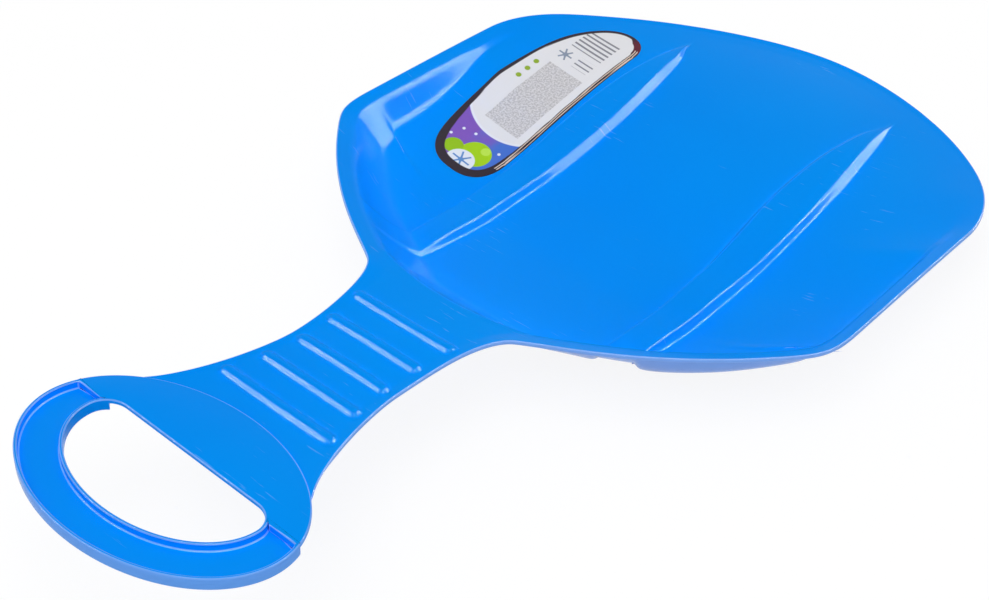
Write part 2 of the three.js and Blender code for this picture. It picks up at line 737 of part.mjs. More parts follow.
// Outline of the label as smooth bends, each with its four points as (across, along) shares of the label
const labelBendShares = [
  [[0, 0.1], [0, 0.04], [0.12, 0], [0.3, 0]],
  [[0.3, 0], [0.73, 0], [1, 0.27], [1, 0.56]],
  [[1, 0.56], [1, 0.84], [0.75, 1], [0.42, 1]],
  [[0.42, 1], [0.15, 1], [0, 0.95], [0, 0.85]],
  [[0, 0.85], [0, 0.6], [0, 0.35], [0, 0.1]],
];

function makeLabel(surface) {
  const spot = ([across, along]) =>
    new Vector2(-ridgeOuterHalfWidth - labelOffRidge - across * labelWidth, -labelRear - along * labelLength);
  const bends = labelBendShares.map((points) => new THREE.CubicBezierCurve(...points.map(spot)));
  const edge = bends.flatMap((bend) => bend.getSpacedPoints(labelBendCells).slice(1));
  edge.push(edge[0]);
  const middle = spot([0.5, 0.5]);
  const rings = counted(labelInwardCells).map((inward) =>
    edge.map((point) => {
      const place = point.clone().lerp(middle, inward);
      return new Vector3(place.x, place.y, heightAbove(surface, place.x, place.y) + touchGap + labelFilm);
    }),
  );
  const solidFaces = netTriangles(rings).filter((corners) => new THREE.Triangle(...corners).getArea() > 0);
  return thickened(geometryOf(solidFaces), labelFilm, labelFilm);
}

// Assembly
function part(name, geometry, colour, roughness) {
  const material = new THREE.MeshStandardMaterial({ color: colour, roughness, metalness: 0 });
  const mesh = new THREE.Mesh(geometry, material);
  mesh.name = name;
  return mesh;
}

const surface = geometryOf(mirrored(makeHalfSurface()));
const sheet = solidOf(thickened(surface, wall, wall - edgeRound));
const shell = geometryFrom(addHandle(addRibs(planeBelly(sheet))));
const sled = new THREE.Group();
sled.add(part("sled_shell", shell, 0x0a84e6, 0.3));
sled.add(part("seat_label", makeLabel(surface), 0xf2f3f5, 0.4));
sled.rotation.x = -restAngle;

// Set down: the middle of the box's underside is the origin
const box = new THREE.Box3().setFromObject(sled, true);
const centre = box.getCenter(new Vector3());
sled.position.set(-centre.x, -centre.y, -box.min.z);
const placedSled = new THREE.Group();
placedSled.add(sled);

export default placedSled;
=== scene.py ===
# %% [markdown]
# # A moulded snow slider
# This lesson dresses a snow slider: a thin blue sheet of moulded plastic with a dished seat, two long hollow
# ridges, a ribbed neck and a ring handle, and a printed film label stuck on the seat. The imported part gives
# the frame, which holds the true sizes. Every new piece is placed in that frame, in metres.

# %% Load the frame
import math

import bmesh
import bpy
import numpy as np
from mathutils import Matrix, Vector
from mathutils.bvhtree import BVHTree


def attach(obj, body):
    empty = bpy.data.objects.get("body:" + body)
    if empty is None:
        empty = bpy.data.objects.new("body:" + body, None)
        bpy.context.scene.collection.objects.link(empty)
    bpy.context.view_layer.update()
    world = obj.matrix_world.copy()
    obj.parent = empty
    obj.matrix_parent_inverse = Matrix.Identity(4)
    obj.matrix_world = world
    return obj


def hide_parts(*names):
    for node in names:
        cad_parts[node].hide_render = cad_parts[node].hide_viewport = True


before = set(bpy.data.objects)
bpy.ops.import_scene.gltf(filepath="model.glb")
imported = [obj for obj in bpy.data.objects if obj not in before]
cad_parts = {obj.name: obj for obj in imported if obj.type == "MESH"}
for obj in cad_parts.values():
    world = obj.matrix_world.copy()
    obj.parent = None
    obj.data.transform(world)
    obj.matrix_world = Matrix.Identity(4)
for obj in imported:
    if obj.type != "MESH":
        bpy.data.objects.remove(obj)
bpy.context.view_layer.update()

# %% [markdown]
# ## The drawing and where it stands
# The sled is drawn in millimetres, with its tail edge at y = 0, its neck level at z = 0 and the handle
# towards -y. A real slider of this kind rocks back on its round belly until the balance point is over the
# lowest stretch. So the drawing is turned by that rest angle and moved so that its box fits the frame's box.
# One matrix does both, and every point of every piece goes through it.

# %% Place the drawing in the frame
rest_angle = math.radians(7.5)
drawing_place = Vector((0, 0.2770078, -0.0040955))
millimetre = 0.001
tilt = Matrix.Rotation(-rest_angle, 4, "X")
set_down = Matrix.Translation(drawing_place) @ tilt @ Matrix.Scale(millimetre, 4)
print("tail edge in the frame:", tuple(round(x, 4) for x in set_down @ Vector((0, 0, 0))))

# %% [markdown]
# ## The camera
# The view was worked out from the object: from the ring's ellipse, the straight edges and the mirror symmetry
# of the sled. It is a long lens from the front right, a little above. The camera is built from a heading and
# a pitch in the drawing, and then goes through the same matrix as the sled, so it keeps its tiny roll.

# %% Camera
camera_spot = Vector((466.85, -783.41, 469.22))
camera_heading = math.radians(43.846)
camera_pitch = math.radians(35.824)
focal_pixels = 1600
photo_width = 989
film_width = 36


def add_object(name, data):
    made = bpy.data.objects.new(name, data)
    bpy.context.scene.collection.objects.link(made)
    return made


camera_data = bpy.data.cameras.new("view_camera")
camera_data.sensor_width = film_width
camera_data.lens = film_width * focal_pixels / photo_width
camera = add_object("view_camera", camera_data)
aim = Matrix.Rotation(camera_heading, 4, "Z") @ Matrix.Rotation(math.pi / 2 - camera_pitch, 4, "X")
camera.matrix_world = Matrix.Translation(set_down @ camera_spot) @ tilt @ aim
bpy.context.scene.camera = camera
print("lens:", round(camera_data.lens, 2), "camera at:", tuple(round(x, 3) for x in camera.location))

# %% [markdown]
# ## Small helpers for curves
# The outlines are Bezier bends and smooth lines through a few points, as in the part's drawing. A bend of any
# degree comes from mixing its control points again and again, which is how these curves are defined. Long
# lines are then read by station, the distance forward from the tail edge. A curve object would draw the same
# bends, but the net below needs their points as numbers.

# %% Curve helpers
def mix(start, end, share):
    return start + (end - start) * share


def between(value, start, end):
    return (value - start) / (end - start)


def ease(share):
    share = np.clip(share, 0, 1)
    return share * share * (3 - 2 * share)


def bend(*controls, cells=240):
    share = np.linspace(0, 1, cells + 1)[:, None]
    level = [np.array(point, float) + 0 * share for point in controls]
    while len(level) > 1:
        level = [mix(a, b, share) for a, b in zip(level, level[1:])]
    return level[0]


def joined(pieces):
    return np.vstack([pieces[0]] + [piece[1:] for piece in pieces[1:]])


def smooth_line(*points):
    points = [np.array(point, float) for point in points]
    ends = [points[0]] + points + [points[-1]]
    bends = []
    for before, start, end, after in zip(ends, ends[1:], ends[2:], ends[3:]):
        bends.append(bend(start, start + (end - before) / 6, end - (after - start) / 6, end))
    return joined(bends)


def height_on(line, station):
    return np.interp(station, line[:, 0], line[:, 1])


print("helpers ready")

# %% [markdown]
# ## The outline seen from above
# Only the right half is drawn: the tail's long curve, the straight side, the corner, the front wing, the root
# of the neck, its waist and its flare into the ring. The left half is its mirror image, as in the mould.

# %% Plan sizes
rear_half_width = 169.8
front_half_width = 171.5
tail_curve_length = 126.5
side_end = 228.7
corner_end = 263.9
corner_angle = math.radians(43.2)
root_half_width = 52.3
root_start = 337.9
root_angle = math.radians(59.1)
waist_half_width = 36.2
waist_station = 400.2
neck_end_half_width = 61
neck_end_angle = math.radians(41.4)
handle_centre = 508.2
handle_half_width = 81.5
handle_half_depth = 51.8
print("drawn width:", 2 * front_half_width, "mm, ring", 2 * handle_half_width, "mm wide")

# %% [markdown]
# Each bend leaves its corner along a way and with a pull of its own. A longer pull keeps the curve straight
# for longer, so the pulls are what make the long tail curve full and the corners tight. The neck ends on the
# ring's ellipse, so that its last line lies along the handle plate.

# %% Outline
tail_pull, side_rear_pull = 69.8, 59.6
side_front_pull, corner_rear_pull = 18.1, 16.7
corner_front_pull, root_rear_pull = 64.8, 19.7
root_front_pull, waist_rear_pull = 15.6, 20.5
waist_front_pull, neck_end_pull = 16.2, 23.9
corner_half_width = 157.3


def plate_back(half_width):
    return handle_half_depth * np.sqrt(1 - (half_width / handle_half_width) ** 2) - handle_centre


def moved(start, way, distance):
    return np.array(start, float) + np.array(way, float) * distance


def forward_and_in(angle):
    return (-math.sin(angle), -math.cos(angle))


side = (rear_half_width, -tail_curve_length)
side_front = (front_half_width, -side_end)
corner = (corner_half_width, -corner_end)
root = (root_half_width, -root_start)
waist = (waist_half_width, -waist_station)
neck_end_y = float(plate_back(neck_end_half_width))
neck_end = (neck_end_half_width, neck_end_y)
forward = (0, -1)
corner_way = forward_and_in(corner_angle)
root_way = forward_and_in(root_angle)
end_way = (math.sin(neck_end_angle), -math.cos(neck_end_angle))
outline = joined([
    bend((0, 0), (tail_pull, 0), moved(side, forward, -side_rear_pull), side),
    bend(side, side_front),
    bend(
        side_front, moved(side_front, forward, side_front_pull),
        moved(corner, corner_way, -corner_rear_pull), corner
    ),
    bend(corner, moved(corner, corner_way, corner_front_pull), moved(root, root_way, -root_rear_pull), root),
    bend(root, moved(root, root_way, root_front_pull), moved(waist, forward, -waist_rear_pull), waist),
    bend(waist, moved(waist, forward, waist_front_pull), moved(neck_end, end_way, -neck_end_pull), neck_end),
])
print("outline of one half:", len(outline), "points, neck end", [round(x, 1) for x in neck_end])

# %% [markdown]
# The outline is then walked by share, from 0 at the tail's middle to 1 at the neck's end. One helper gives
# the point at a share, and one gives the way straight inward from the edge there.

# %% Walk along the outline
steps = np.linalg.norm(np.diff(outline, axis=0), axis=1)
outline_length = steps.sum()
outline_share = np.concatenate([[0], np.cumsum(steps)]) / outline_length


def outline_at(share):
    return np.array([np.interp(share, outline_share, outline[:, k]) for k in (0, 1)])


def share_at_station(station):
    return float(np.interp(station, -outline[:, 1], outline_share))


def inward_at(share, reach):
    step = reach / outline_length
    ahead = outline_at(min(1, share + step))
    behind = outline_at(abs(share - step))
    if share < step:
        behind[0] = -behind[0]
    way = np.array([ahead[1] - behind[1], behind[0] - ahead[0]])
    return way / np.linalg.norm(way)


print("outline length of one half:", round(outline_length, 1), "mm")

# %% [markdown]
# ## Three lines seen from the side
# The rim rises from the tail to a crest and falls to the neck. The floor's centre line droops at the tail,
# dives into the belly, runs level in the rest pose over the flat that the sled stands on, and stays low until
# it lifts a little just before the front wall. The neck sags. All the other heights come from these lines.

# %% Side lines
crease_station = 332.3
crease_half_width = 54
crease_height = 2.3
neck_low_height = -2.1
belly_station = 218
belly_half_flat = 16
belly_depth = 22.3
belly_bend = 12
belly_end = 290
dive_pull = 35
crest = (30, 12)
crest_pull = 75
tail_droop = 1
front_lift = 7
belly_slope = math.tan(rest_angle)

rim_line = smooth_line(
    (0, 11.8), (51, 16), (95, 20.5), (144, 19.2), (247, 12.5), (346, 5.2),
    (waist_station, 0.3), (-neck_end_y, -0.2)
)
flat_rear = (belly_station - belly_half_flat, belly_slope * belly_half_flat - belly_depth)
flat_front = (belly_station + belly_half_flat, -belly_slope * belly_half_flat - belly_depth)
belly_low = flat_front[1] - belly_slope * belly_bend / 2
dive_end = (flat_rear[0] - dive_pull, flat_rear[1] + belly_slope * dive_pull)
low_start = (flat_front[0] + belly_bend, belly_low)
floor_line = joined([
    bend((0, crest[1] - tail_droop), (crest[0] / 2, crest[1]), crest),
    bend(crest, (crest[0] + crest_pull, crest[1]), dive_end, flat_rear),
    bend(flat_rear, flat_front),
    bend(flat_front, (flat_front[0] + belly_bend / 2, belly_low), low_start),
    bend(low_start, (belly_end, belly_low), (crease_station, belly_low + front_lift)),
])
neck_line = smooth_line(
    (crease_station, crease_height), (365, 2.2), (waist_station, 0.2),
    (456.4, neck_low_height), (-neck_end_y, neck_low_height)
)
print("lowest point of the seat:", round(belly_low, 1), "mm below the neck")

# %% [markdown]
# ## The floor: dish and ridges
# The floor is the side line, plus a dish that lifts its outer parts towards the wings, plus the two ridges.
# A ridge has a flat top and two walls. Four lines along the sled say where each wall's foot and top are: the
# walls lean out wide at the pointed rear end and stand nearly upright over the belly. Each wall is a straight
# ramp with a small round at both ends, because a moulded edge has no sharp corner. A fifth line gives the
# ridge's height. It grows from nothing at the rear, and it fades almost away before the front wall.

# %% Ridge lines
ridge_outer = 87
inner_foot = smooth_line(
    (50, 72.5), (58, 67.5), (66, 64.3), (80, 61.4), (100, 58.4), (130, 56.4), (150, 56.6), (175, 58),
    (200, 60.2), (225, 61.2), (260, 62.1), (280, 62.2)
)
inner_top = smooth_line(
    (50, 73), (60, 69.2), (72, 67.1), (84, 65.1), (100, 62.8), (120, 60.9), (145, 60.3), (165, 61.2),
    (185, 62.3), (205, 63.1), (230, 63.9), (260, 64.5), (280, 64.6)
)
outer_top = smooth_line(
    (50, 74.5), (60, 75.3), (72, 77.1), (84, 78.8), (100, 80.9), (120, 82.6), (146, 83.8), (180, 83.8),
    (200, 83), (225, 82.5), (250, 82.2), (280, 82.1)
)
outer_foot = smooth_line(
    (50, 75), (58, 78), (70, 80), (88, 82.5), (105, 84.8), (130, 86.1), (150, 86.1), (166, 85.9),
    (182, 85.4), (198, 84.9), (225, 84.3), (250, 84), (280, 83.9)
)
ridge_line = smooth_line(
    (46, 0), (52, 1.2), (60, 2.3), (75, 3.6), (95, 4.3), (160, 4.5), (190, 5.1), (215, 5.5), (240, 5.6),
    (260, 5.4), (275, 4.2), (290, 2.2), (302, 1.4)
)
belly_feet = [height_on(line, belly_station) for line in (inner_foot, outer_foot)]
print("ridge width at the belly:", round(belly_feet[1] - belly_feet[0], 1), "mm")

# %% Floor height
ridge_middle = 74
edge_radius = 0.9
edge_share = 0.46
dish_rise = 17.3
dish_half_width = 153
dish_curve = 1.3


def edge_round(foot, top):
    return np.minimum(edge_radius, edge_share * np.abs(top - foot))


def ramp(x, foot, top):
    reach = edge_round(foot, top)

    def soft(past):
        return np.where(np.abs(past) < reach, (past + reach) ** 2 / (4 * reach), np.clip(past, 0, None))

    return (soft(x - foot) - soft(x - top)) / (top - foot)


def ridge_cover(x, station):
    feet = [height_on(line, station) for line in (inner_foot, inner_top, outer_foot, outer_top)]
    x = np.abs(x)
    return ramp(x, feet[0], feet[1]) * ramp(-x, -feet[2], -feet[3])


def floor_height(x, station):
    outward = np.clip(between(np.abs(x), ridge_outer, dish_half_width), 0, None)
    dish = dish_rise * outward**dish_curve
    return height_on(floor_line, station) + dish + height_on(ridge_line, station) * ridge_cover(x, station)


print("ridge top at the belly:", round(float(floor_height(ridge_middle, belly_station)), 1), "mm")

# %% [markdown]
# ## One station of the rim
# Walking inward from the edge, there is a narrow flange, then a wall that drops to the floor. At the sides
# the wall is a straight panel, and past the panel's end it becomes the curved front wall. Each number changes
# smoothly from the tail to the side and on to the front, so that one function gives every station.

# %% Rim sizes
flange_cells = 6
wall_cells = 10
flange_widths = (3.5, 8.5, 10.3)
flange_drops = (0.9, 4, 2.8)
wall_runs = (8, 8.5, 22, 28)
panel_drop = 16.3
panel_span = (215, 136)
panel_taper = 0.8
panel_end = 224
panel_end_step = 12
corner_wall_bend = 1.7
root_wall_bend = 1.2
wall_turn_spread = 25
flange_turn_spread = 0.8
shortest_run = 0.5
rear_drops = (0.3, 3)
flange_change = (80, 150)
print("panel:", panel_drop, "mm high at the most, flange:", flange_widths[1], "mm wide beside it")


# %% One rim station
def rim_station(share):
    edge = outline_at(share)
    station = -edge[1]
    to_side = ease(between(station, *flange_change))
    to_front = ease(between(station, panel_end, corner_end))
    past_panel = ease(between(station, panel_end, panel_end + panel_end_step))
    to_root = ease(between(station, corner_end, root_start))
    flange = mix(mix(flange_widths[0], flange_widths[1], to_side), flange_widths[2], to_front)
    flange_drop = mix(mix(flange_drops[0], flange_drops[1], to_side), flange_drops[2], to_root)
    panel_left = 1 - np.clip(between(station, *panel_span), 0, 1) ** 2
    side_run = wall_runs[1] * max(shortest_run, panel_left**panel_taper)
    run = mix(mix(mix(wall_runs[0], side_run, to_side), wall_runs[2], past_panel), wall_runs[3], to_root)
    rim = height_on(rim_line, station)
    top = rim - flange_drop
    flange_edge = edge + inward_at(share, flange_turn_spread) * flange
    foot = flange_edge + inward_at(share, wall_turn_spread) * run
    rear_drop = mix(*rear_drops, ease(between(station, 0, flange_change[1])))
    drop = max(rear_drop, panel_drop * panel_left)
    foot_height = mix(top - drop, floor_height(foot[0], -foot[1]), past_panel)
    wall_bend = mix(1, mix(corner_wall_bend, root_wall_bend, to_root), past_panel)
    points = []
    for part in np.linspace(0, 1, flange_cells + 1):
        points.append((*mix(edge, flange_edge, part), mix(rim, top, part)))
    for part in np.linspace(0, 1, wall_cells + 1)[1:]:
        height = mix(foot_height, top, (1 - part) ** wall_bend)
        points.append((*mix(flange_edge, foot, part), height))
    return np.array(points)


def share_where(test, low, high, halvings=36):
    for _ in range(halvings):
        middle = (low + high) / 2
        low, high = (middle, high) if test(middle) < 0 else (low, middle)
    return (low + high) / 2


panel_share = share_at_station(panel_end)
crease_share = share_where(
    lambda share: crease_half_width - rim_station(share)[flange_cells][0],
    share_at_station(corner_end),
    share_at_station(root_start),
)
crease_end = rim_station(crease_share)
print("the neck starts at", round(crease_share, 3), "of the outline")

# %% [markdown]
# ## Columns and rows
# The floor is a net. Its columns run from the front wall to the tail. They crowd together at the four edges
# of a ridge and follow them, so that each small round keeps its own seven columns. The rows run across. Every
# column and every row ends in a rim station of its own, so all the nets meet corner to corner, and merging
# their doubles later makes one sheet.

# %% Columns
centre_cells = 30
round_columns = np.linspace(-1, 1, 7)
outer_parts = np.concatenate([[0.014, 0.03, 0.05], np.linspace(0.08, 1, 20)])
tail_corner, front_corner = 113, 134
crease_foot_x = crease_end[-1][0]


def gap_columns(start, end, cells):
    return np.linspace(start, end, cells + 1)[1:-1]


def columns_at(station):
    low_in, high_in, high_out, low_out = [
        height_on(line, station) for line in (inner_foot, inner_top, outer_top, outer_foot)
    ]
    spread_in = edge_round(low_in, high_in) * round_columns
    spread_out = edge_round(low_out, high_out) * round_columns
    return np.concatenate([
        np.linspace(0, crease_foot_x, centre_cells + 1),
        gap_columns(crease_foot_x, low_in + spread_in[0], 5),
        low_in + spread_in, [(low_in + high_in) / 2], high_in + spread_in,
        gap_columns(high_in + spread_in[-1], high_out + spread_out[0], 6),
        high_out + spread_out, [(high_out + low_out) / 2], low_out + spread_out, [ridge_outer],
    ])


column_stations = np.arange(0, 345, 1.5)
column_lines = np.array([columns_at(station) for station in column_stations])
tail_columns, front_columns = column_lines[0], column_lines[-1]
print(len(tail_columns), "columns follow the ridge,", len(outer_parts), "lie outside it")

# %% [markdown]
# Now the stations where columns and rows end. A search by halving finds the share of the outline at which a
# wall's foot reaches a given half width. The curved front wall has no outline in front of it, because the
# neck starts there, so its stations are made between the middle and the neck's root.

# %% Stations for every column and row
side_rows, step_rows, front_rows = 66, 8, 32


def with_foot(half_width, low, high):
    sense = 1 if rim_station(low)[-1][0] < rim_station(high)[-1][0] else -1
    return rim_station(share_where(lambda s: sense * (rim_station(s)[-1][0] - half_width), low, high))


tail_x = np.concatenate([tail_columns, mix(ridge_outer, tail_corner, outer_parts)])
front_x = np.concatenate([front_columns, mix(ridge_outer, front_corner, outer_parts)])[centre_cells + 1:]
tail = [rim_station(0)] + [with_foot(x, 0, panel_share) for x in tail_x[1:]]
front = [with_foot(x, panel_share, crease_share) for x in front_x]


def crease_column(part):
    start, foot = crease_end[flange_cells], crease_end[-1]
    bow = part**2
    top = np.array([start[0] * part, mix(-crease_station, start[1], bow), mix(crease_height, start[2], bow)])
    bottom = np.array([foot[0] * part, mix(wall_runs[3] - crease_station, foot[1], bow), 0])
    bottom[2] = floor_height(bottom[0], -bottom[1])
    down = np.linspace(0, 1, wall_cells + 1)
    points = top + (bottom - top) * down[:, None]
    points[:, 2] = mix(bottom[2], top[2], (1 - down) ** root_wall_bend)
    return points


crease = [crease_column(part) for part in np.linspace(0, 1, centre_cells + 1)]
tail_foot = np.array([station[-1] for station in tail])
front_foot = np.array([station[-1] for station in crease + front])
from_share = share_where(lambda s: rim_station(s)[-1][0] - tail_foot[-1][0], 0, panel_share)
to_share = share_where(lambda s: front_foot[-1][0] - rim_station(s)[-1][0], panel_share, crease_share)
step_share = share_at_station(panel_end + panel_end_step)
side_shares = np.concatenate([
    np.linspace(from_share, panel_share, side_rows),
    np.linspace(panel_share, step_share, step_rows)[1:],
    np.linspace(step_share, to_share, front_rows)[1:],
])
sides = [rim_station(share) for share in side_shares]
print(len(tail_x), "columns and", len(side_shares), "rows")

# %% [markdown]
# ## The floor's rows
# Near the tail and near the front wall the rows bow along with those edges, and in between they run straight
# across. Outside the ridges a row heads for its own wall foot, and takes its height from the same dish curve.

# %% Rows of the floor
def floor_row(share, station):
    along = between(share, from_share, to_share)
    near_tail, near_front = (1 - along) ** 2, along**3
    inner = len(tail_columns)
    tail_in, front_in = tail_foot[:inner], front_foot[:inner]
    y = mix(tail_foot[0][1], front_foot[0][1], along)
    y = y + (tail_in[:, 1] - tail_in[0][1]) * near_tail + (front_in[:, 1] - front_in[0][1]) * near_front
    x = np.array([np.interp(-y[k], column_stations, column_lines[:, k]) for k in range(inner)])
    tail_fix = tail_in[:, 2] - floor_height(tail_columns, -tail_in[:, 1])
    row = np.column_stack([x, y, floor_height(x, -y) + tail_fix * near_tail])
    foot, part = station[-1], outer_parts[:, None]

    def off_line(feet):
        return feet[inner:] - mix(feet[inner - 1], feet[-1], part)

    def level(points):
        return height_on(floor_line, -points[..., 1])

    start = row[-1].copy()
    spots = mix(start, foot, part) + off_line(tail_foot) * near_tail + off_line(front_foot) * near_front
    dish = outer_parts**dish_curve
    tail_rise = tail_foot[-1][2] - level(tail_foot[-1])
    tail_fix = tail_foot[inner:, 2] - level(tail_foot[inner:]) - tail_rise * dish
    spots[:, 2] = level(spots) + (foot[2] - level(foot)) * dish + tail_fix * near_tail
    return np.vstack([row, spots])


floor_net = np.array([floor_row(share, station) for share, station in zip(side_shares, sides)])
print("floor net:", floor_net.shape[:2])

# %% [markdown]
# The neck's rows run from its middle to its edge, where a narrow band rises to the rim. The first row is the
# front wall's top. The last ones bow to follow the handle plate, and one more row laps under it.

# %% Rows of the neck
neck_cells = 200
soften_end = 0.3
bow_start = 0.5
neck_edge_width = 6
neck_edge_drop = 0.6
handle_lap = 4


def neck_row(along):
    share = mix(crease_share, 1, along)
    edge = outline_at(share)
    rim = height_on(rim_line, -edge[1])
    soften = ease(between(along, 0, soften_end))
    inward = mix(inward_at(share, flange_turn_spread), np.array([-1, 0]), soften)
    inward = inward / np.linalg.norm(inward)
    inner = edge + inward * mix(flange_widths[2], neck_edge_width, soften)
    inner_height = rim - mix(flange_drops[2], neck_edge_drop, soften)
    middle = mix(-crease_station, plate_back(0), along)
    to_plate = ease(between(along, bow_start, 1))
    part = np.linspace(0, 1, centre_cells + 1)
    y = mix(middle, inner[1], part**2)
    x = inner[0] * part
    z = mix(height_on(neck_line, -y), inner_height, part**2)
    out = np.linspace(0, 1, flange_cells + 1)[1:]
    x = np.concatenate([x, mix(inner[0], edge[0], out)])
    y = np.concatenate([y, mix(inner[1], edge[1], out)])
    z = np.concatenate([z, mix(inner_height, rim, out)])
    share_out = x / edge[0]
    plate_bow = between(plate_back(neck_end_half_width * share_out), plate_back(0), neck_end_y)
    bowed = mix(middle, edge[1], mix(share_out**2, plate_bow, to_plate))
    return np.column_stack([x, mix(y, bowed, soften), z])


first_row = np.vstack([[column[0] for column in crease], crease_end[flange_cells - 1::-1]])
neck_net = np.array([first_row] + [neck_row(along) for along in np.linspace(0, 1, neck_cells + 1)[1:]])
neck_net = np.concatenate([neck_net, neck_net[-1:] - np.array([0, handle_lap, 0])])
print("neck net:", neck_net.shape[:2])

# %% [markdown]
# ## From nets to one sheet
# Each net starts as a grid operator's flat grid, and its corners are moved to their stations. Merging the
# doubles joins the nets, and the mirror operator adds the left half. Then two rounds of the smoothing
# operator round the creases, as a mould's radii do, while the long soft surfaces hardly move. Layers are made
# right after the bmesh, because a later one would leave the faces that Python already holds out of date.

# %% Build the sheet's upper surface
corner_merge = 0.05
seam_merge = 0.02
smooth_rounds = 2


def add_net(mesh, net):
    rows, across = net.shape[:2]
    grid = bmesh.ops.create_grid(mesh, x_segments=across - 1, y_segments=rows - 1, size=1)
    for corner_point in grid["verts"]:
        k = round((corner_point.co.x + 1) / 2 * (across - 1))
        r = round((corner_point.co.y + 1) / 2 * (rows - 1))
        corner_point.co = net[r, k]


sheet = bmesh.new()
own_index = sheet.verts.layers.int.new("own_index")
# Painted light: a face number that later paints the underside and the rim faces a paler blue.
sheet_painted_light = sheet.faces.layers.float.new("painted_light")
for net in (floor_net, neck_net, *map(np.array, (tail, sides, [crease_end] + front, crease))):
    add_net(sheet, net)
bmesh.ops.remove_doubles(sheet, verts=sheet.verts, dist=corner_merge)
whole = sheet.verts[:] + sheet.edges[:] + sheet.faces[:]
bmesh.ops.mirror(sheet, geom=whole, axis="X", merge_dist=seam_merge)
bmesh.ops.remove_doubles(sheet, verts=sheet.verts, dist=seam_merge)
bmesh.ops.recalc_face_normals(sheet, faces=sheet.faces)
if sum(face.normal.z * face.calc_area() for face in sheet.faces) < 0:
    bmesh.ops.reverse_faces(sheet, faces=sheet.faces)
boundary = [edge for edge in sheet.edges if edge.is_boundary]
bad = [edge for edge in sheet.edges if not edge.is_boundary and not edge.is_manifold]
on_boundary = {v for edge in boundary for v in edge.verts}
inside = [v for v in sheet.verts if v not in on_boundary]
for _ in range(smooth_rounds):
    bmesh.ops.smooth_vert(sheet, verts=inside, factor=0.5, use_axis_x=True, use_axis_y=True, use_axis_z=True)
print(len(sheet.faces), "faces,", len(boundary), "boundary edges,", len(bad), "bad edges")

# %% [markdown]
# ## The wall thickness and the ribs
# The underside copies the upper side at a wall's distance. Where the sheet turns sharply, the plain normals
# would make the underside fold, so they are first blended with their neighbours'. The five grip ribs are then
# raised on the neck: each is a soft bump around a short line, and a narrower groove follows it below.

# %% Ribs
rib_count = 5
first_rib = 361.5
rib_spacing = 20.1
rib_stations = [first_rib + rib_spacing * k for k in range(rib_count)]
rib_height = 2
rib_margin = 4.4
rib_half_width = 3.75
rib_top, rib_foot = 1.1, 4.3
groove_top, groove_foot = 0.9, 2.4


def rib_lift(x, y, full, gone):
    lift = 0
    for station in rib_stations:
        straight = outline_at(share_at_station(station))[0] - rib_margin - rib_half_width
        reach = np.hypot(np.clip(np.abs(x) - straight, 0, None), y + station)
        lift = lift + rib_height * (1 - ease(between(reach, full, gone)))
    return lift


print("ribs at", [round(station, 1) for station in rib_stations])

# %% [markdown]
# A Solidify modifier would give the wall too, but here the underside needs its own shape under the ribs and a
# thinner end where it laps under the handle plate. So the upper side is copied by extruding it, and each copy
# is moved to its own spot. The underside's faces get a face number that the plastic reads later to paint them
# a paler blue: painted light that stands in for the light the belly's lower walls catch.

# %% Thickness
wall = 2.4
normal_rounds = 8
end_thinning = 0.45
thinning_span = (443, 462)
# Painted light: how strongly the underside is painted a paler blue.
underside_painted_light = 0.7

sheet.verts.index_update()
sheet.normal_update()
upper = sheet.verts[:]
spots = np.array([v.co[:] for v in upper])
normals = np.array([v.normal[:] for v in upper])
pairs = np.array([[v.index for v in edge.verts] for edge in sheet.edges])
for _ in range(normal_rounds):
    total = normals.copy()
    np.add.at(total, pairs[:, 0], normals[pairs[:, 1]])
    np.add.at(total, pairs[:, 1], normals[pairs[:, 0]])
    normals = total / np.linalg.norm(total, axis=1)[:, None]
thinner = 1 - end_thinning * ease(between(-spots[:, 1], *thinning_span))
lower_spots = spots - wall * thinner[:, None] * normals
edge_index = [v.index for v in on_boundary]
lower_spots[edge_index] = spots[edge_index] - np.array([0, 0, wall]) * thinner[edge_index, None]
lower_spots[:, 2] += rib_lift(spots[:, 0], spots[:, 1], groove_top, groove_foot)
spots[:, 2] += rib_lift(spots[:, 0], spots[:, 1], rib_top, rib_foot)
for v, spot in zip(upper, spots):
    v.co = spot
surface_tree = BVHTree.FromBMesh(sheet)

for v in upper:
    v[own_index] = v.index
copy = bmesh.ops.extrude_face_region(sheet, geom=sheet.faces[:], use_keep_orig=True)
for part in copy["geom"]:
    if isinstance(part, bmesh.types.BMVert):
        part.co = lower_spots[part[own_index]]
    elif isinstance(part, bmesh.types.BMFace):
        part[sheet_painted_light] = underside_painted_light
bmesh.ops.recalc_face_normals(sheet, faces=sheet.faces)
print("sheet:", len(sheet.faces), "faces, volume", round(sheet.calc_volume() / 1000, 1), "cubic centimetres")

# %% [markdown]
# ## Rounded rim
# The rim is the only sharp edge left. Its edges are the ones whose two faces meet at a wide angle on the
# outline, and one bevel rounds them all. The rim's side faces and its rounds get the same face number as the
# underside, which paints them a paler blue: a painted highlight along the rim.

# %% Bevel the rim
sharp_angle = 0.9
side_face_tilt = 0.5
rim_round = 0.7
# Painted highlight: how strongly the rim's side faces and rounds are painted a paler blue.
rim_side_painted_light, rim_round_painted_highlight = 0.7, 0.8
bevel_settings = {"affect": "EDGES", "profile": 0.5, "material": -1}


def is_rim(edge):
    return edge.is_manifold and edge.calc_face_angle() > sharp_angle and edge.calc_length() > corner_merge


rim_edges = [edge for edge in sheet.edges if is_rim(edge)]
for edge in rim_edges:
    for face in edge.link_faces:
        if abs(face.normal.z) < side_face_tilt:
            face[sheet_painted_light] = rim_side_painted_light
rounded = bmesh.ops.bevel(sheet, geom=rim_edges, offset=rim_round, segments=3, **bevel_settings)
for face in rounded["faces"]:
    face[sheet_painted_light] = rim_round_painted_highlight
print(len(rim_edges), "rim edges rounded,", sum(len(f.verts) - 2 for f in sheet.faces), "triangles")

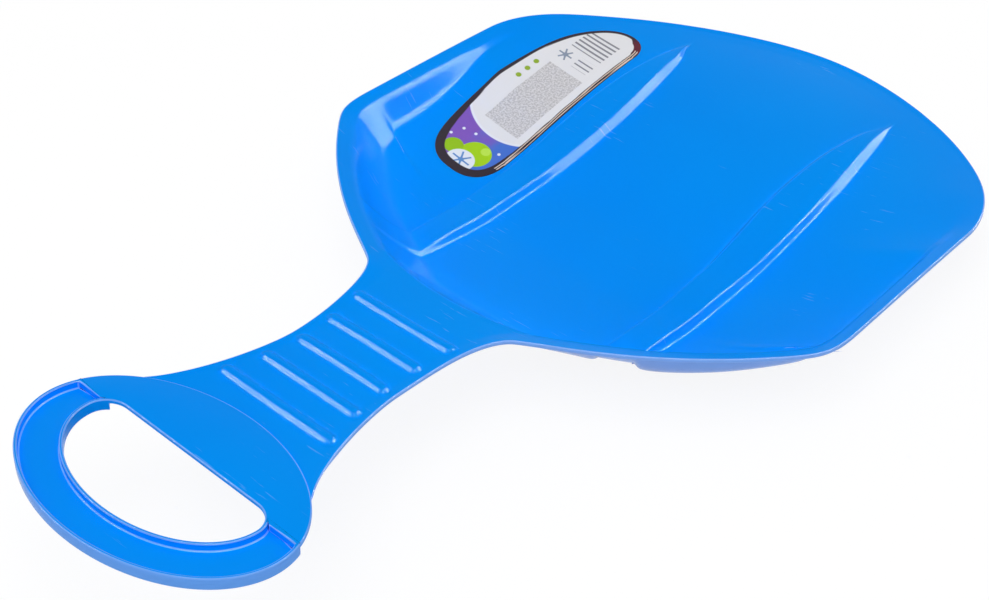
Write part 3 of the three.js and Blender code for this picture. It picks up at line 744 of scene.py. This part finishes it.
# %% [markdown]
# ## The ring handle
# The handle lies in a plane of its own. Its outer edge is an ellipse, and the hand hole has a straight back,
# two round corners and half an ellipse in front. Both loops get the same number of points, so that bridging
# them gives clean spokes. One spoke on each side lies exactly on the line where the deep grip begins.

# %% Handle sizes
handle_angle = math.radians(3.1)
handle_step = 1.1
grip_back = 13.2
grip_height = 6.2
grip_depth = 4
grip_wall = 1.8
hole_back = 16.2
hole_widest_line = 5.2
hole_half_width = 59.8
hole_front_reach = 37
hole_corner_reach = 12.8
front_cells, rear_cells = 150, 96
quarter = math.pi / 2
hole_depth = hole_back - hole_widest_line + hole_front_reach
print("hand hole:", 2 * hole_half_width, "by", round(hole_depth, 1), "mm")


# %% Handle outlines
def arc(centre, radii, start, end, cells=200):
    turn = np.linspace(start, end, cells + 1)
    return np.column_stack([centre[0] + radii[0] * np.cos(turn), centre[1] + radii[1] * np.sin(turn)])


def resampled(line, cells):
    length = np.concatenate([[0], np.cumsum(np.linalg.norm(np.diff(line, axis=0), axis=1))])
    spaced = np.linspace(0, length[-1], cells + 1)
    return np.column_stack([np.interp(spaced, length, line[:, k]) for k in (0, 1)])


corner_radii = (hole_corner_reach, hole_back - hole_widest_line)
corner_centre = (hole_half_width - hole_corner_reach, hole_widest_line)
outer_turn = math.asin(grip_back / handle_half_depth)
hole_turn = math.asin((grip_back - hole_widest_line) / corner_radii[1])
handle_radii = (handle_half_width, handle_half_depth)


def mirrored_line(half):
    return joined([half, half[::-1] * [-1, 1]])


outer_front = mirrored_line(arc((0, 0), handle_radii, outer_turn, -quarter))
outer_rear = mirrored_line(arc((0, 0), handle_radii, outer_turn, quarter))
hole_front = mirrored_line(joined([
    arc(corner_centre, corner_radii, hole_turn, 0),
    arc((0, hole_widest_line), (hole_half_width, hole_front_reach), 0, -quarter),
]))
hole_rear = mirrored_line(joined([
    arc(corner_centre, corner_radii, hole_turn, quarter),
    np.array([[corner_centre[0], hole_back], [0, hole_back]]),
]))


def ring_loop(front_line, rear_line):
    front_part = resampled(front_line, front_cells)
    rear_part = resampled(rear_line, rear_cells)[::-1]
    return np.vstack([front_part[:-1], rear_part[:-1]])


outer_loop = ring_loop(outer_front, outer_rear)
hole_loop = ring_loop(hole_front, hole_rear)
print(len(outer_loop), "spokes; first spoke from", outer_loop[0].round(1), "to", hole_loop[0].round(1))

# %% [markdown]
# ## Plate, grip and gutter
# The bridged ring is extruded down to a thin plate. The front of its underside goes on down to the depth of
# the grip. The front of its top is inset by a wall and pushed in, which leaves the gutter.

# %% Ring plate and grip
handle = bmesh.new()
# Painted light: a face number that paints the grip's outer sides and the rounds a paler blue.
handle_painted_light = handle.faces.layers.float.new("painted_light")
for loop in (outer_loop, hole_loop):
    circle = bmesh.ops.create_circle(handle, segments=len(loop), radius=1)
    for v, spot in zip(circle["verts"], loop):
        v.co = (*spot, 0)
bridged = bmesh.ops.bridge_loops(handle, edges=handle.edges[:])
spoke_error = max(abs(e.verts[0].co.y - e.verts[1].co.y) for f in bridged["faces"] for e in f.edges)
top = handle.faces[:]


def in_front(face):
    return face.calc_center_median().y < grip_back


def pushed(faces, depth, keep=False):
    region = [*faces, *(e for f in faces for e in f.edges), *(v for f in faces for v in f.verts)]
    grown = bmesh.ops.extrude_face_region(handle, geom=list(dict.fromkeys(region)), use_keep_orig=keep)
    verts = [g for g in grown["geom"] if isinstance(g, bmesh.types.BMVert)]
    bmesh.ops.translate(handle, verts=verts, vec=(0, 0, -depth))
    return [g for g in grown["geom"] if isinstance(g, bmesh.types.BMFace)]


bottom = pushed(top, wall, keep=True)
pushed([f for f in bottom if in_front(f)], grip_height - wall)
bmesh.ops.recalc_face_normals(handle, faces=handle.faces)
gutter = [f for f in handle.faces if f.normal.z > 0.9 and in_front(f)]
bmesh.ops.inset_region(handle, faces=gutter, thickness=grip_wall, use_even_offset=True, use_boundary=True)
pushed(gutter, grip_depth)
bmesh.ops.recalc_face_normals(handle, faces=handle.faces)
print("ring:", len(handle.faces), "faces, spokes level within", round(spoke_error, 3), "mm")

# %% [markdown]
# The gutter's corners in plan are bevelled first, with a wide round, and then every other edge gets a small
# one. The grip's outer side faces and the small rounds get a face number that paints them a paler blue:
# painted light on the sides and a painted highlight on the rounds. Last, the handle is tipped by its own
# angle and set on the end of the neck.

# %% Round the handle's edges
corner_round = 4
handle_round = 0.6
handle_sharp_angle = 0.7
# Painted light on the grip's outer sides and a painted highlight on the rounds, as shares of the paler blue.
grip_side_painted_light, grip_round_painted_highlight = 0.48, 0.55
outer_zone = 0.985


def is_upright(edge):
    along = edge.verts[1].co - edge.verts[0].co
    return abs(along.z) > 0.9 * along.length


def is_gutter_corner(edge):
    full_depth = abs(edge.calc_length() - grip_depth) < 0.01
    return is_upright(edge) and full_depth and edge.calc_face_angle() > sharp_angle


plan_corners = [e for e in handle.edges if is_gutter_corner(e)]
bmesh.ops.bevel(handle, geom=plan_corners, offset=corner_round, segments=6, **bevel_settings)
loose = [e for e in handle.edges if not e.is_manifold]
sharp = [e for e in handle.edges if e.is_manifold and e.calc_face_angle() > handle_sharp_angle]
for face in handle.faces:
    middle = face.calc_center_median()
    on_outside = math.hypot(middle.x / handle_half_width, middle.y / handle_half_depth) > outer_zone
    face[handle_painted_light] = grip_side_painted_light if on_outside and abs(face.normal.z) < side_face_tilt else 0
rounded = bmesh.ops.bevel(handle, geom=sharp, offset=handle_round, segments=3, **bevel_settings)
for face in rounded["faces"]:
    face[handle_painted_light] = grip_round_painted_highlight
handle_rear = Matrix.Translation((0, handle_half_depth - handle_centre, neck_low_height + handle_step))
rear_to_middle = Matrix.Translation((0, -handle_half_depth, 0))
handle.transform(handle_rear @ Matrix.Rotation(-handle_angle, 4, "X") @ rear_to_middle)
print(len(plan_corners), "gutter corners,", len(sharp), "sharp edges,", len(loose), "open edges")

# %% [markdown]
# ## The label
# The label is a thin film that follows the seat. Its outline is five smooth bends. Rings shrink from the
# outline to the middle, and a ray cast down from above finds the seat under each corner. Two things are
# stored for its print: a UV map with the place on the label, and the distance to the label's edge.

# %% Label outline
label_ridge_gap = 3
label_width = 52
label_rear = 62.5
label_length = 156.5
glue_gap = 0.3
film = 0.25
label_bends = [
    [(0, 0.1), (0, 0.04), (0.12, 0), (0.3, 0)],
    [(0.3, 0), (0.73, 0), (1, 0.27), (1, 0.56)],
    [(1, 0.56), (1, 0.88), (0.87, 1.01), (0.42, 1)],
    [(0.42, 1), (0.15, 1), (0, 0.95), (0, 0.85)],
    [(0, 0.85), (0, 0.6), (0, 0.35), (0, 0.1)],
]
label_size = np.array([label_width, label_length])
label_start = np.array([ridge_outer + label_ridge_gap, label_rear])
label_edge = joined([bend(*points, cells=36) for points in label_bends]) * label_size
label_middle = label_size / 2
ring_parts = np.concatenate([[0, 0.01, 0.02, 0.04, 0.06, 0.08, 0.1, 0.13, 0.16], np.linspace(0.2, 1, 17)])
ring_net = np.array([mix(label_edge, label_middle, part) for part in ring_parts])
print("label:", label_width, "by", label_length, "mm,", len(label_edge), "points round it")

# %% Label film
above_all = 60
label = bmesh.new()
add_net(label, np.concatenate([-(ring_net + label_start), 0 * ring_net[..., :1]], axis=2))
bmesh.ops.remove_doubles(label, verts=label.verts, dist=0.01)
print_uv = label.loops.layers.uv.new("print")
edge_distance = label.verts.layers.float.new("edge_distance")
for v in label.verts:
    place = -np.array(v.co.xy) - label_start
    v[edge_distance] = np.linalg.norm(label_edge - place, axis=1).min()
    hit = surface_tree.ray_cast((v.co.x, v.co.y, above_all), (0, 0, -1))[0]
    v.co.z = hit.z + glue_gap
for face in label.faces:
    for loop in face.loops:
        loop[print_uv].uv = (-np.array(loop.vert.co.xy) - label_start) / label_size
under = bmesh.ops.extrude_face_region(label, geom=label.faces[:], use_keep_orig=True)
low = [v for v in under["geom"] if isinstance(v, bmesh.types.BMVert)]
bmesh.ops.translate(label, verts=low, vec=(0, 0, -film))
bmesh.ops.recalc_face_normals(label, faces=label.faces)
print(len(label.faces), "label faces")

# %% [markdown]
# ## Helpers for materials
# Node trees read better when each node is one line. These helpers add a node, set its sockets from numbers or
# links, and give the usual sums, steps and mixes.

# %% Material helpers
def new_material(name):
    material = bpy.data.materials.new(name)
    material.use_nodes = True
    return material, material.node_tree, material.node_tree.nodes["Principled BSDF"]


def plug(tree, socket, value):
    if isinstance(value, bpy.types.NodeSocket):
        tree.links.new(value, socket)
    else:
        socket.default_value = value


def add_node(tree, kind, sockets, **settings):
    made = tree.nodes.new("ShaderNode" + kind)
    for key, value in settings.items():
        setattr(made, key, value)
    for socket, value in sockets.items():
        plug(tree, made.inputs[socket], value)
    return made


def compute(tree, operation, *values):
    return add_node(tree, "Math", dict(enumerate(values)), operation=operation).outputs[0]


def rising(tree, value, low, high):
    sockets = {"Value": value, "From Min": low, "From Max": high}
    return add_node(tree, "MapRange", sockets, interpolation_type="SMOOTHSTEP").outputs["Result"]


def scaled(tree, value, low, high, first, last):
    sockets = {"Value": value, "From Min": low, "From Max": high, "To Min": first, "To Max": last}
    return add_node(tree, "MapRange", sockets).outputs["Result"]


def blended(tree, share, first, second):
    sockets = {0: share, 6: first, 7: second}
    return add_node(tree, "Mix", sockets, data_type="RGBA").outputs[2]


def noise(tree, where, scale, detail=2.0, **settings):
    sockets = {"Vector": where, "Scale": scale, "Detail": detail, **settings}
    return add_node(tree, "TexNoise", sockets).outputs["Fac"]


print("material helpers ready")

# %% [markdown]
# ## Blue plastic
# The body is one glossy blue. A paler blue is painted on the rims, the grip's outer sides and the underside:
# painted highlights on the edges and painted light on the lower walls. Close up it isn't perfect: the gloss
# varies a little, the surface waves faintly from the moulding, and a few short scratches show where hands and
# boots rub it.

# %% Blue plastic
# The third blue is both the scratches' colour and the paler blue of the painted light and painted highlights.
deep_blue, fresh_blue, scratch_and_highlight_blue = (0, 0.268, 0.91, 1), (0, 0.286, 0.93, 1), (0.3, 0.5, 1, 1)
scratch_grain = {"Rotation": (0, 0, 0.6), "Scale": (60, 900, 60)}
scratch_strength = 0.22

blue_plastic, tree, shader = new_material("blue_plastic")
place = add_node(tree, "TexCoord", {}).outputs["Object"]
body_colour = blended(tree, rising(tree, noise(tree, place, 6.0), 0.35, 0.65), deep_blue, fresh_blue)
scratch_place = add_node(tree, "Mapping", {"Vector": place, **scratch_grain}).outputs[0]
scratch = rising(tree, noise(tree, scratch_place, 1.0), 0.66, 0.72)
rubbed = rising(tree, noise(tree, place, 18.0), 0.56, 0.64)
scratch_share = compute(tree, "MULTIPLY", compute(tree, "MULTIPLY", scratch, rubbed), scratch_strength)
# Painted light: the face number mixes the paler blue in on the rims, the grip's sides and the underside.
painted_light = add_node(tree, "Attribute", {}, attribute_name="painted_light").outputs["Fac"]
body_colour = blended(tree, compute(tree, "MAXIMUM", scratch_share, painted_light), body_colour, scratch_and_highlight_blue)
plug(tree, shader.inputs["Base Color"], body_colour)
print("colours:", deep_blue, "to", fresh_blue, "and", scratch_and_highlight_blue, "on thin edges")

# %% [markdown]
# The real plastic shines only where a lamp mirrors in it, and between these gleams it keeps a full blue. So
# the mirror share is low, the lamps are strong, and the gloss has a blue tint.

# %% Gloss and moulding waves
mirror_share = 0.02
mirror_tint = (0.7, 0.85, 1, 1)
smoothest, roughest = 0.1, 0.2
wave_bump = {"Strength": 0.15, "Distance": 0.0004}

shader.inputs["Specular IOR Level"].default_value = mirror_share
shader.inputs["Specular Tint"].default_value = mirror_tint
gloss = scaled(tree, noise(tree, place, 40.0, 4.0), 0, 1, smoothest, roughest)
plug(tree, shader.inputs["Roughness"], gloss)
height = compute(tree, "MULTIPLY_ADD", noise(tree, place, 900.0), 0.05, noise(tree, place, 30.0))
bump = add_node(tree, "Bump", {"Height": height, **wave_bump})
plug(tree, shader.inputs["Normal"], bump.outputs["Normal"])
print("blue plastic:", len(tree.nodes), "nodes")

# %% [markdown]
# ## The print on the label
# The print is drawn from masks. Each mask is a smooth step on the place across and along the label, in
# millimetres, or on the distance to its edge. An image would do too, but masks stay sharp at any distance.

# %% Masks on the label
label_film, film_tree, film_shader = new_material("label_film")
uv = add_node(film_tree, "UVMap", {}, uv_map="print").outputs[0]
label_scale = {0: uv, 1: (label_width, label_length, 0)}
spot = add_node(film_tree, "VectorMath", label_scale, operation="MULTIPLY").outputs[0]
across, along, _ = add_node(film_tree, "SeparateXYZ", {0: spot}).outputs
from_edge = add_node(film_tree, "Attribute", {}, attribute_name="edge_distance").outputs["Fac"]


def overlap(first, second):
    return compute(film_tree, "MULTIPLY", first, second)


def within(value, low, high, soft=0.2):
    past_low = rising(film_tree, value, low - soft, low + soft)
    return overlap(past_low, rising(film_tree, value, high + soft, high - soft))


def area(left, right, rear, front):
    return overlap(within(across, left, right), within(along, rear, front))


def far_from(centre):
    ends = {0: spot, 1: (*centre, 0)}
    return add_node(film_tree, "VectorMath", ends, operation="DISTANCE").outputs["Value"]


def beyond(centre, radius, soft=0.3):
    return rising(film_tree, far_from(centre), radius - soft, radius + soft)


def disc(centre, radius, soft=0.25):
    return rising(film_tree, far_from(centre), radius + soft, radius - soft)


def crystal(centre, radius, arm_count=6, arm_edges=(2.0, 1.4)):
    sideways = compute(film_tree, "SUBTRACT", across, centre[0])
    turn = compute(film_tree, "ARCTAN2", compute(film_tree, "SUBTRACT", along, centre[1]), sideways)
    arm_turn = compute(film_tree, "MULTIPLY", turn, arm_count / 2)
    off_arm = compute(film_tree, "ABSOLUTE", compute(film_tree, "SINE", arm_turn))
    arms = rising(film_tree, overlap(off_arm, far_from(centre)), *arm_edges)
    return overlap(arms, disc(centre, radius))


print("masks read a label of", label_width, "by", label_length, "mm")

# %% [markdown]
# Each layer is a mask and a colour, and it is laid over the ones before. From rear to front there are stacks
# of bars, a speckled panel, a few dots, and a snow scene of plain discs and a crystal under a violet sky.

# %% Layers of the print
paper, dark_ink, grey_ink = (0.8, 0.8, 0.83, 1), (0.22, 0.22, 0.26, 1), (0.2, 0.2, 0.25, 1)
warm_grey, light_grey, slate = (0.5, 0.49, 0.51, 1), (0.72, 0.71, 0.73, 1), (0.25, 0.3, 0.4, 1)
dusk_blue, dusk_violet, ice_blue = (0.06, 0.17, 0.62, 1), (0.22, 0.1, 0.5, 1), (0.12, 0.28, 0.6, 1)
olive, leaf = (0.28, 0.42, 0.03, 1), (0.38, 0.66, 0.01, 1)
lime, meadow = (0.52, 0.8, 0.08, 1), (0.3, 0.55, 0.01, 1)
arc_white, snow_white, flake_white = (0.82, 0.84, 0.9, 1), (0.8, 0.84, 0.9, 1), (0.8, 0.85, 0.95, 1)
bar_spacing = 3.6
panel_end_circle = (24, 84)

speckle = rising(film_tree, noise(film_tree, spot, 0.9, 4.0), 0.4, 0.6)
bar_place = compute(film_tree, "MODULO", along, bar_spacing)
sky_start = rising(film_tree, along, 100, 101)
sky_drift = compute(film_tree, "MULTIPLY_ADD", noise(film_tree, spot, 0.12), 30.0, across)
sky_colour = blended(film_tree, rising(film_tree, sky_drift, 22, 48), dusk_blue, dusk_violet)
layers = [
    (area(9, 36, 54, 112), blended(film_tree, speckle, warm_grey, light_grey)),
    (overlap(area(12, 36, 14, 34), within(bar_place, 0.8, 2.2)), dark_ink),
    (overlap(area(12, 24, 38, 48), within(bar_place, 1, 2)), grey_ink),
    (crystal((33, 43), 5), slate),
    *((disc((42, dot), 1.8), olive) for dot in (60, 68, 76)),
    (overlap(beyond(panel_end_circle, 35.9), sky_start), arc_white),
    (overlap(beyond(panel_end_circle, 37.5), sky_start), sky_colour),
    (disc((19, 138), 10), leaf),
    (disc((16, 132), 3), lime),
    (disc((33, 142), 6), meadow),
    (disc((22, 148), 9), snow_white),
    (crystal((22, 147), 6.5), ice_blue),
    *((disc(flake, 1), flake_white) for flake in ((38, 128), (30, 126), (41, 136), (9, 128))),
]
print(len(layers), "layers of print")

# %% [markdown]
# A dark border runs round the label. It is wider at both ends and along the ridge, where two cream lines lie
# in it, and it turns reddish at the tail. Then all the layers are blended in their order.

# %% Border and film
near_black, wine, cream = (0.03, 0.02, 0.03, 1), (0.12, 0.015, 0.03, 1), (0.75, 0.6, 0.5, 1)
ridge_border = 3.8
film_roughness = 0.3
film_mirror_share = 0.05

near_ridge = overlap(rising(film_tree, across, 9, 8), within(along, 10, 138))
front_width = scaled(film_tree, along, 90, 150, 2.4, 6)
tail_width = scaled(film_tree, far_from((2, 6)), 8, 16, 4.5, 0)
end_width = compute(film_tree, "MAXIMUM", front_width, tail_width)
border_width = compute(film_tree, "MAXIMUM", end_width, overlap(near_ridge, ridge_border))
border = rising(film_tree, compute(film_tree, "SUBTRACT", from_edge, border_width), 0.3, -0.3)
border_colour = blended(film_tree, rising(film_tree, far_from((2, 4)), 12, 5), near_black, wine)
lines = compute(film_tree, "ADD", within(from_edge, 1, 1.7, 0.15), within(from_edge, 2.5, 3.2, 0.15))
layers += [(border, border_colour), (overlap(lines, near_ridge), cream)]
print_colour = paper
for mask, colour in layers:
    print_colour = blended(film_tree, mask, print_colour, colour)
plug(film_tree, film_shader.inputs["Base Color"], print_colour)
film_shader.inputs["Roughness"].default_value = film_roughness
film_shader.inputs["Specular IOR Level"].default_value = film_mirror_share
print("label film:", len(film_tree.nodes), "nodes")

# %% [markdown]
# ## The finished pieces
# Each bmesh goes through the matrix that sets the sled down, so its object can stay at the origin, unturned
# and unscaled. What would dip below the floor is pressed level with it, as the part's belly is planed flat.
# The sheet and the handle stand in for the part's shell, and the printed label for its label.

# %% Pieces
def finish_piece(mesh, name, material, node, smooth_angle=0.6):
    mesh.transform(set_down)
    for v in mesh.verts:
        v.co.z = max(v.co.z, 0)
    data = bpy.data.meshes.new(name)
    mesh.to_mesh(data)
    mesh.free()
    for polygon in data.polygons:
        polygon.use_smooth = True
    data.set_sharp_from_angle(angle=smooth_angle)
    data.materials.append(material)
    piece = add_object(name, data)
    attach(piece, "root")
    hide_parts(node)
    return piece


sheet_piece = finish_piece(sheet, "sled_sheet", blue_plastic, "sled_shell")
handle_piece = finish_piece(handle, "ring_handle", blue_plastic, "sled_shell")
label_piece = finish_piece(label, "printed_label", label_film, "seat_label")

# %% [markdown]
# ## Floor
# The sled stands on a white floor. Its white comes from a glow that only the camera and mirrored or refracted
# rays see, so it doesn't light the sled from below. A share of plain grey paint stays and takes the shadow.

# %% Floor
floor_size = 8
floor_grey = (0.85, 0.85, 0.85, 1)
floor_roughness = 0.9
floor_glow = 1.04
glow_share = 0.86
white = (1, 1, 1, 1)


def seen_share(tree):
    rays = add_node(tree, "LightPath", {}).outputs
    direct = compute(tree, "MAXIMUM", rays["Is Camera Ray"], rays["Is Glossy Ray"])
    return compute(tree, "MAXIMUM", direct, rays["Is Transmission Ray"])


ground = bmesh.new()
bmesh.ops.create_grid(ground, x_segments=1, y_segments=1, size=floor_size / 2)
floor_data = bpy.data.meshes.new("studio_floor")
ground.to_mesh(floor_data)
ground.free()
floor_paint, tree, shader = new_material("studio_floor")
shader.inputs["Base Color"].default_value = floor_grey
shader.inputs["Roughness"].default_value = floor_roughness
shader.inputs["Specular IOR Level"].default_value = 0
glow = add_node(tree, "Emission", {"Color": white, "Strength": floor_glow})
seen_glow = compute(tree, "MULTIPLY", seen_share(tree), glow_share)
both = add_node(tree, "MixShader", {0: seen_glow, 1: shader.outputs[0], 2: glow.outputs[0]})
plug(tree, tree.nodes["Material Output"].inputs["Surface"], both.outputs[0])
floor_data.materials.append(floor_paint)
studio_floor = add_object("studio_floor", floor_data)
print("floor:", floor_size, "metres wide")

# %% [markdown]
# ## World
# The world gives an even, plain light. To the camera and in mirrored rays it is white, as the floor is.

# %% World
ambient = 0.6
world = bpy.data.worlds.new("studio")
bpy.context.scene.world = world
world.use_nodes = True
tree = world.node_tree
sky = tree.nodes["Background"]
sky.inputs["Color"].default_value = white
plug(tree, sky.inputs["Strength"], scaled(tree, seen_share(tree), 0, 1, ambient, 1))
print("ambient light:", ambient)

# %% [markdown]
# ## Lamps
# Gloss shows a lamp wherever the surface faces halfway between the lamp and the eye. So each lamp is placed
# by the range of slopes that should gleam: those that face right, on the ridges and the left wing, those that
# face the handle, on the ribs, and those of the front corner. The rear of the ridges has a weaker lamp of its
# own, shifted along the ridge. Level surfaces mirror the plain backdrop and keep their own blue. These lamps
# light the gloss alone, because Blender can leave a lamp's diffuse light out.

# %% Gleam lamps
lamp_distance = 2.2
view_way = tilt.inverted() @ (camera.matrix_world.to_quaternion() @ Vector((0, 0, -1)))
sled_middle = Vector((0, -250, 0))
faces_right, faces_handle, faces_corner = (1, 0, 0), (0, -1, 0), (0.7, -0.7, 0)


def add_gleam(name, slope_way, slopes, breadth, radiance, shift=0):
    ways = []
    for slope in map(math.radians, slopes):
        normal = Vector(slope_way) * math.sin(slope) + Vector((0, 0, math.cos(slope)))
        ways.append(view_way.reflect(normal).normalized())
    middle = (ways[0] + ways[1]).normalized()
    length = 2 * lamp_distance * math.tan(ways[0].angle(ways[1]) / 2)
    data = bpy.data.lights.new(name, "AREA")
    data.shape = "RECTANGLE"
    data.size, data.size_y = length, breadth
    data.energy = radiance * math.pi * length * breadth
    lamp = add_object(name, data)
    long_way = (ways[1] - ways[0]).normalized()
    across_way = middle.cross(long_way).normalized()
    turn = Matrix((long_way, across_way, middle)).transposed().to_4x4()
    lamp_spot = set_down @ (sled_middle + (middle * lamp_distance + across_way * shift) / millimetre)
    lamp.matrix_world = Matrix.Translation(lamp_spot) @ tilt @ turn
    lamp.visible_diffuse = False
    print(name, "towards", tuple(round(x, 2) for x in middle), "length", round(length, 2))


add_gleam("right_slopes", faces_right, slopes=(27, 54), breadth=1.5, radiance=135, shift=-0.4)
add_gleam("rear_slopes", faces_right, slopes=(27, 54), breadth=1.0, radiance=65, shift=0.85)
add_gleam("front_slopes", faces_handle, slopes=(38, 52), breadth=0.9, radiance=120)
add_gleam("corner_slopes", faces_corner, slopes=(34, 50), breadth=2.4, radiance=90)

# %% [markdown]
# One more lamp is the other way round: it lights the colour and stays out of the gloss. It is a wide disk
# nearly overhead, so the shadow under the sled is soft.

# %% Soft fill
fill_size = 2.4
fill_watts = 24
fill_spot = (0.3, -0.5, 2.4)

fill_data = bpy.data.lights.new("soft_fill", "AREA")
fill_data.shape = "DISK"
fill_data.size = fill_size
fill_data.energy = fill_watts
soft_fill = add_object("soft_fill", fill_data)
soft_fill.location = fill_spot
soft_fill.rotation_euler = (-soft_fill.location).to_track_quat("-Z", "Y").to_euler()
soft_fill.visible_glossy = False
print("soft fill:", fill_size, "metres wide,", fill_watts, "watts")

# %% [markdown]
# ## View
# The Standard view transform shows a colour as it is written.

# %% View
bpy.context.scene.view_settings.view_transform = "Standard"
print("view transform:", bpy.context.scene.view_settings.view_transform)
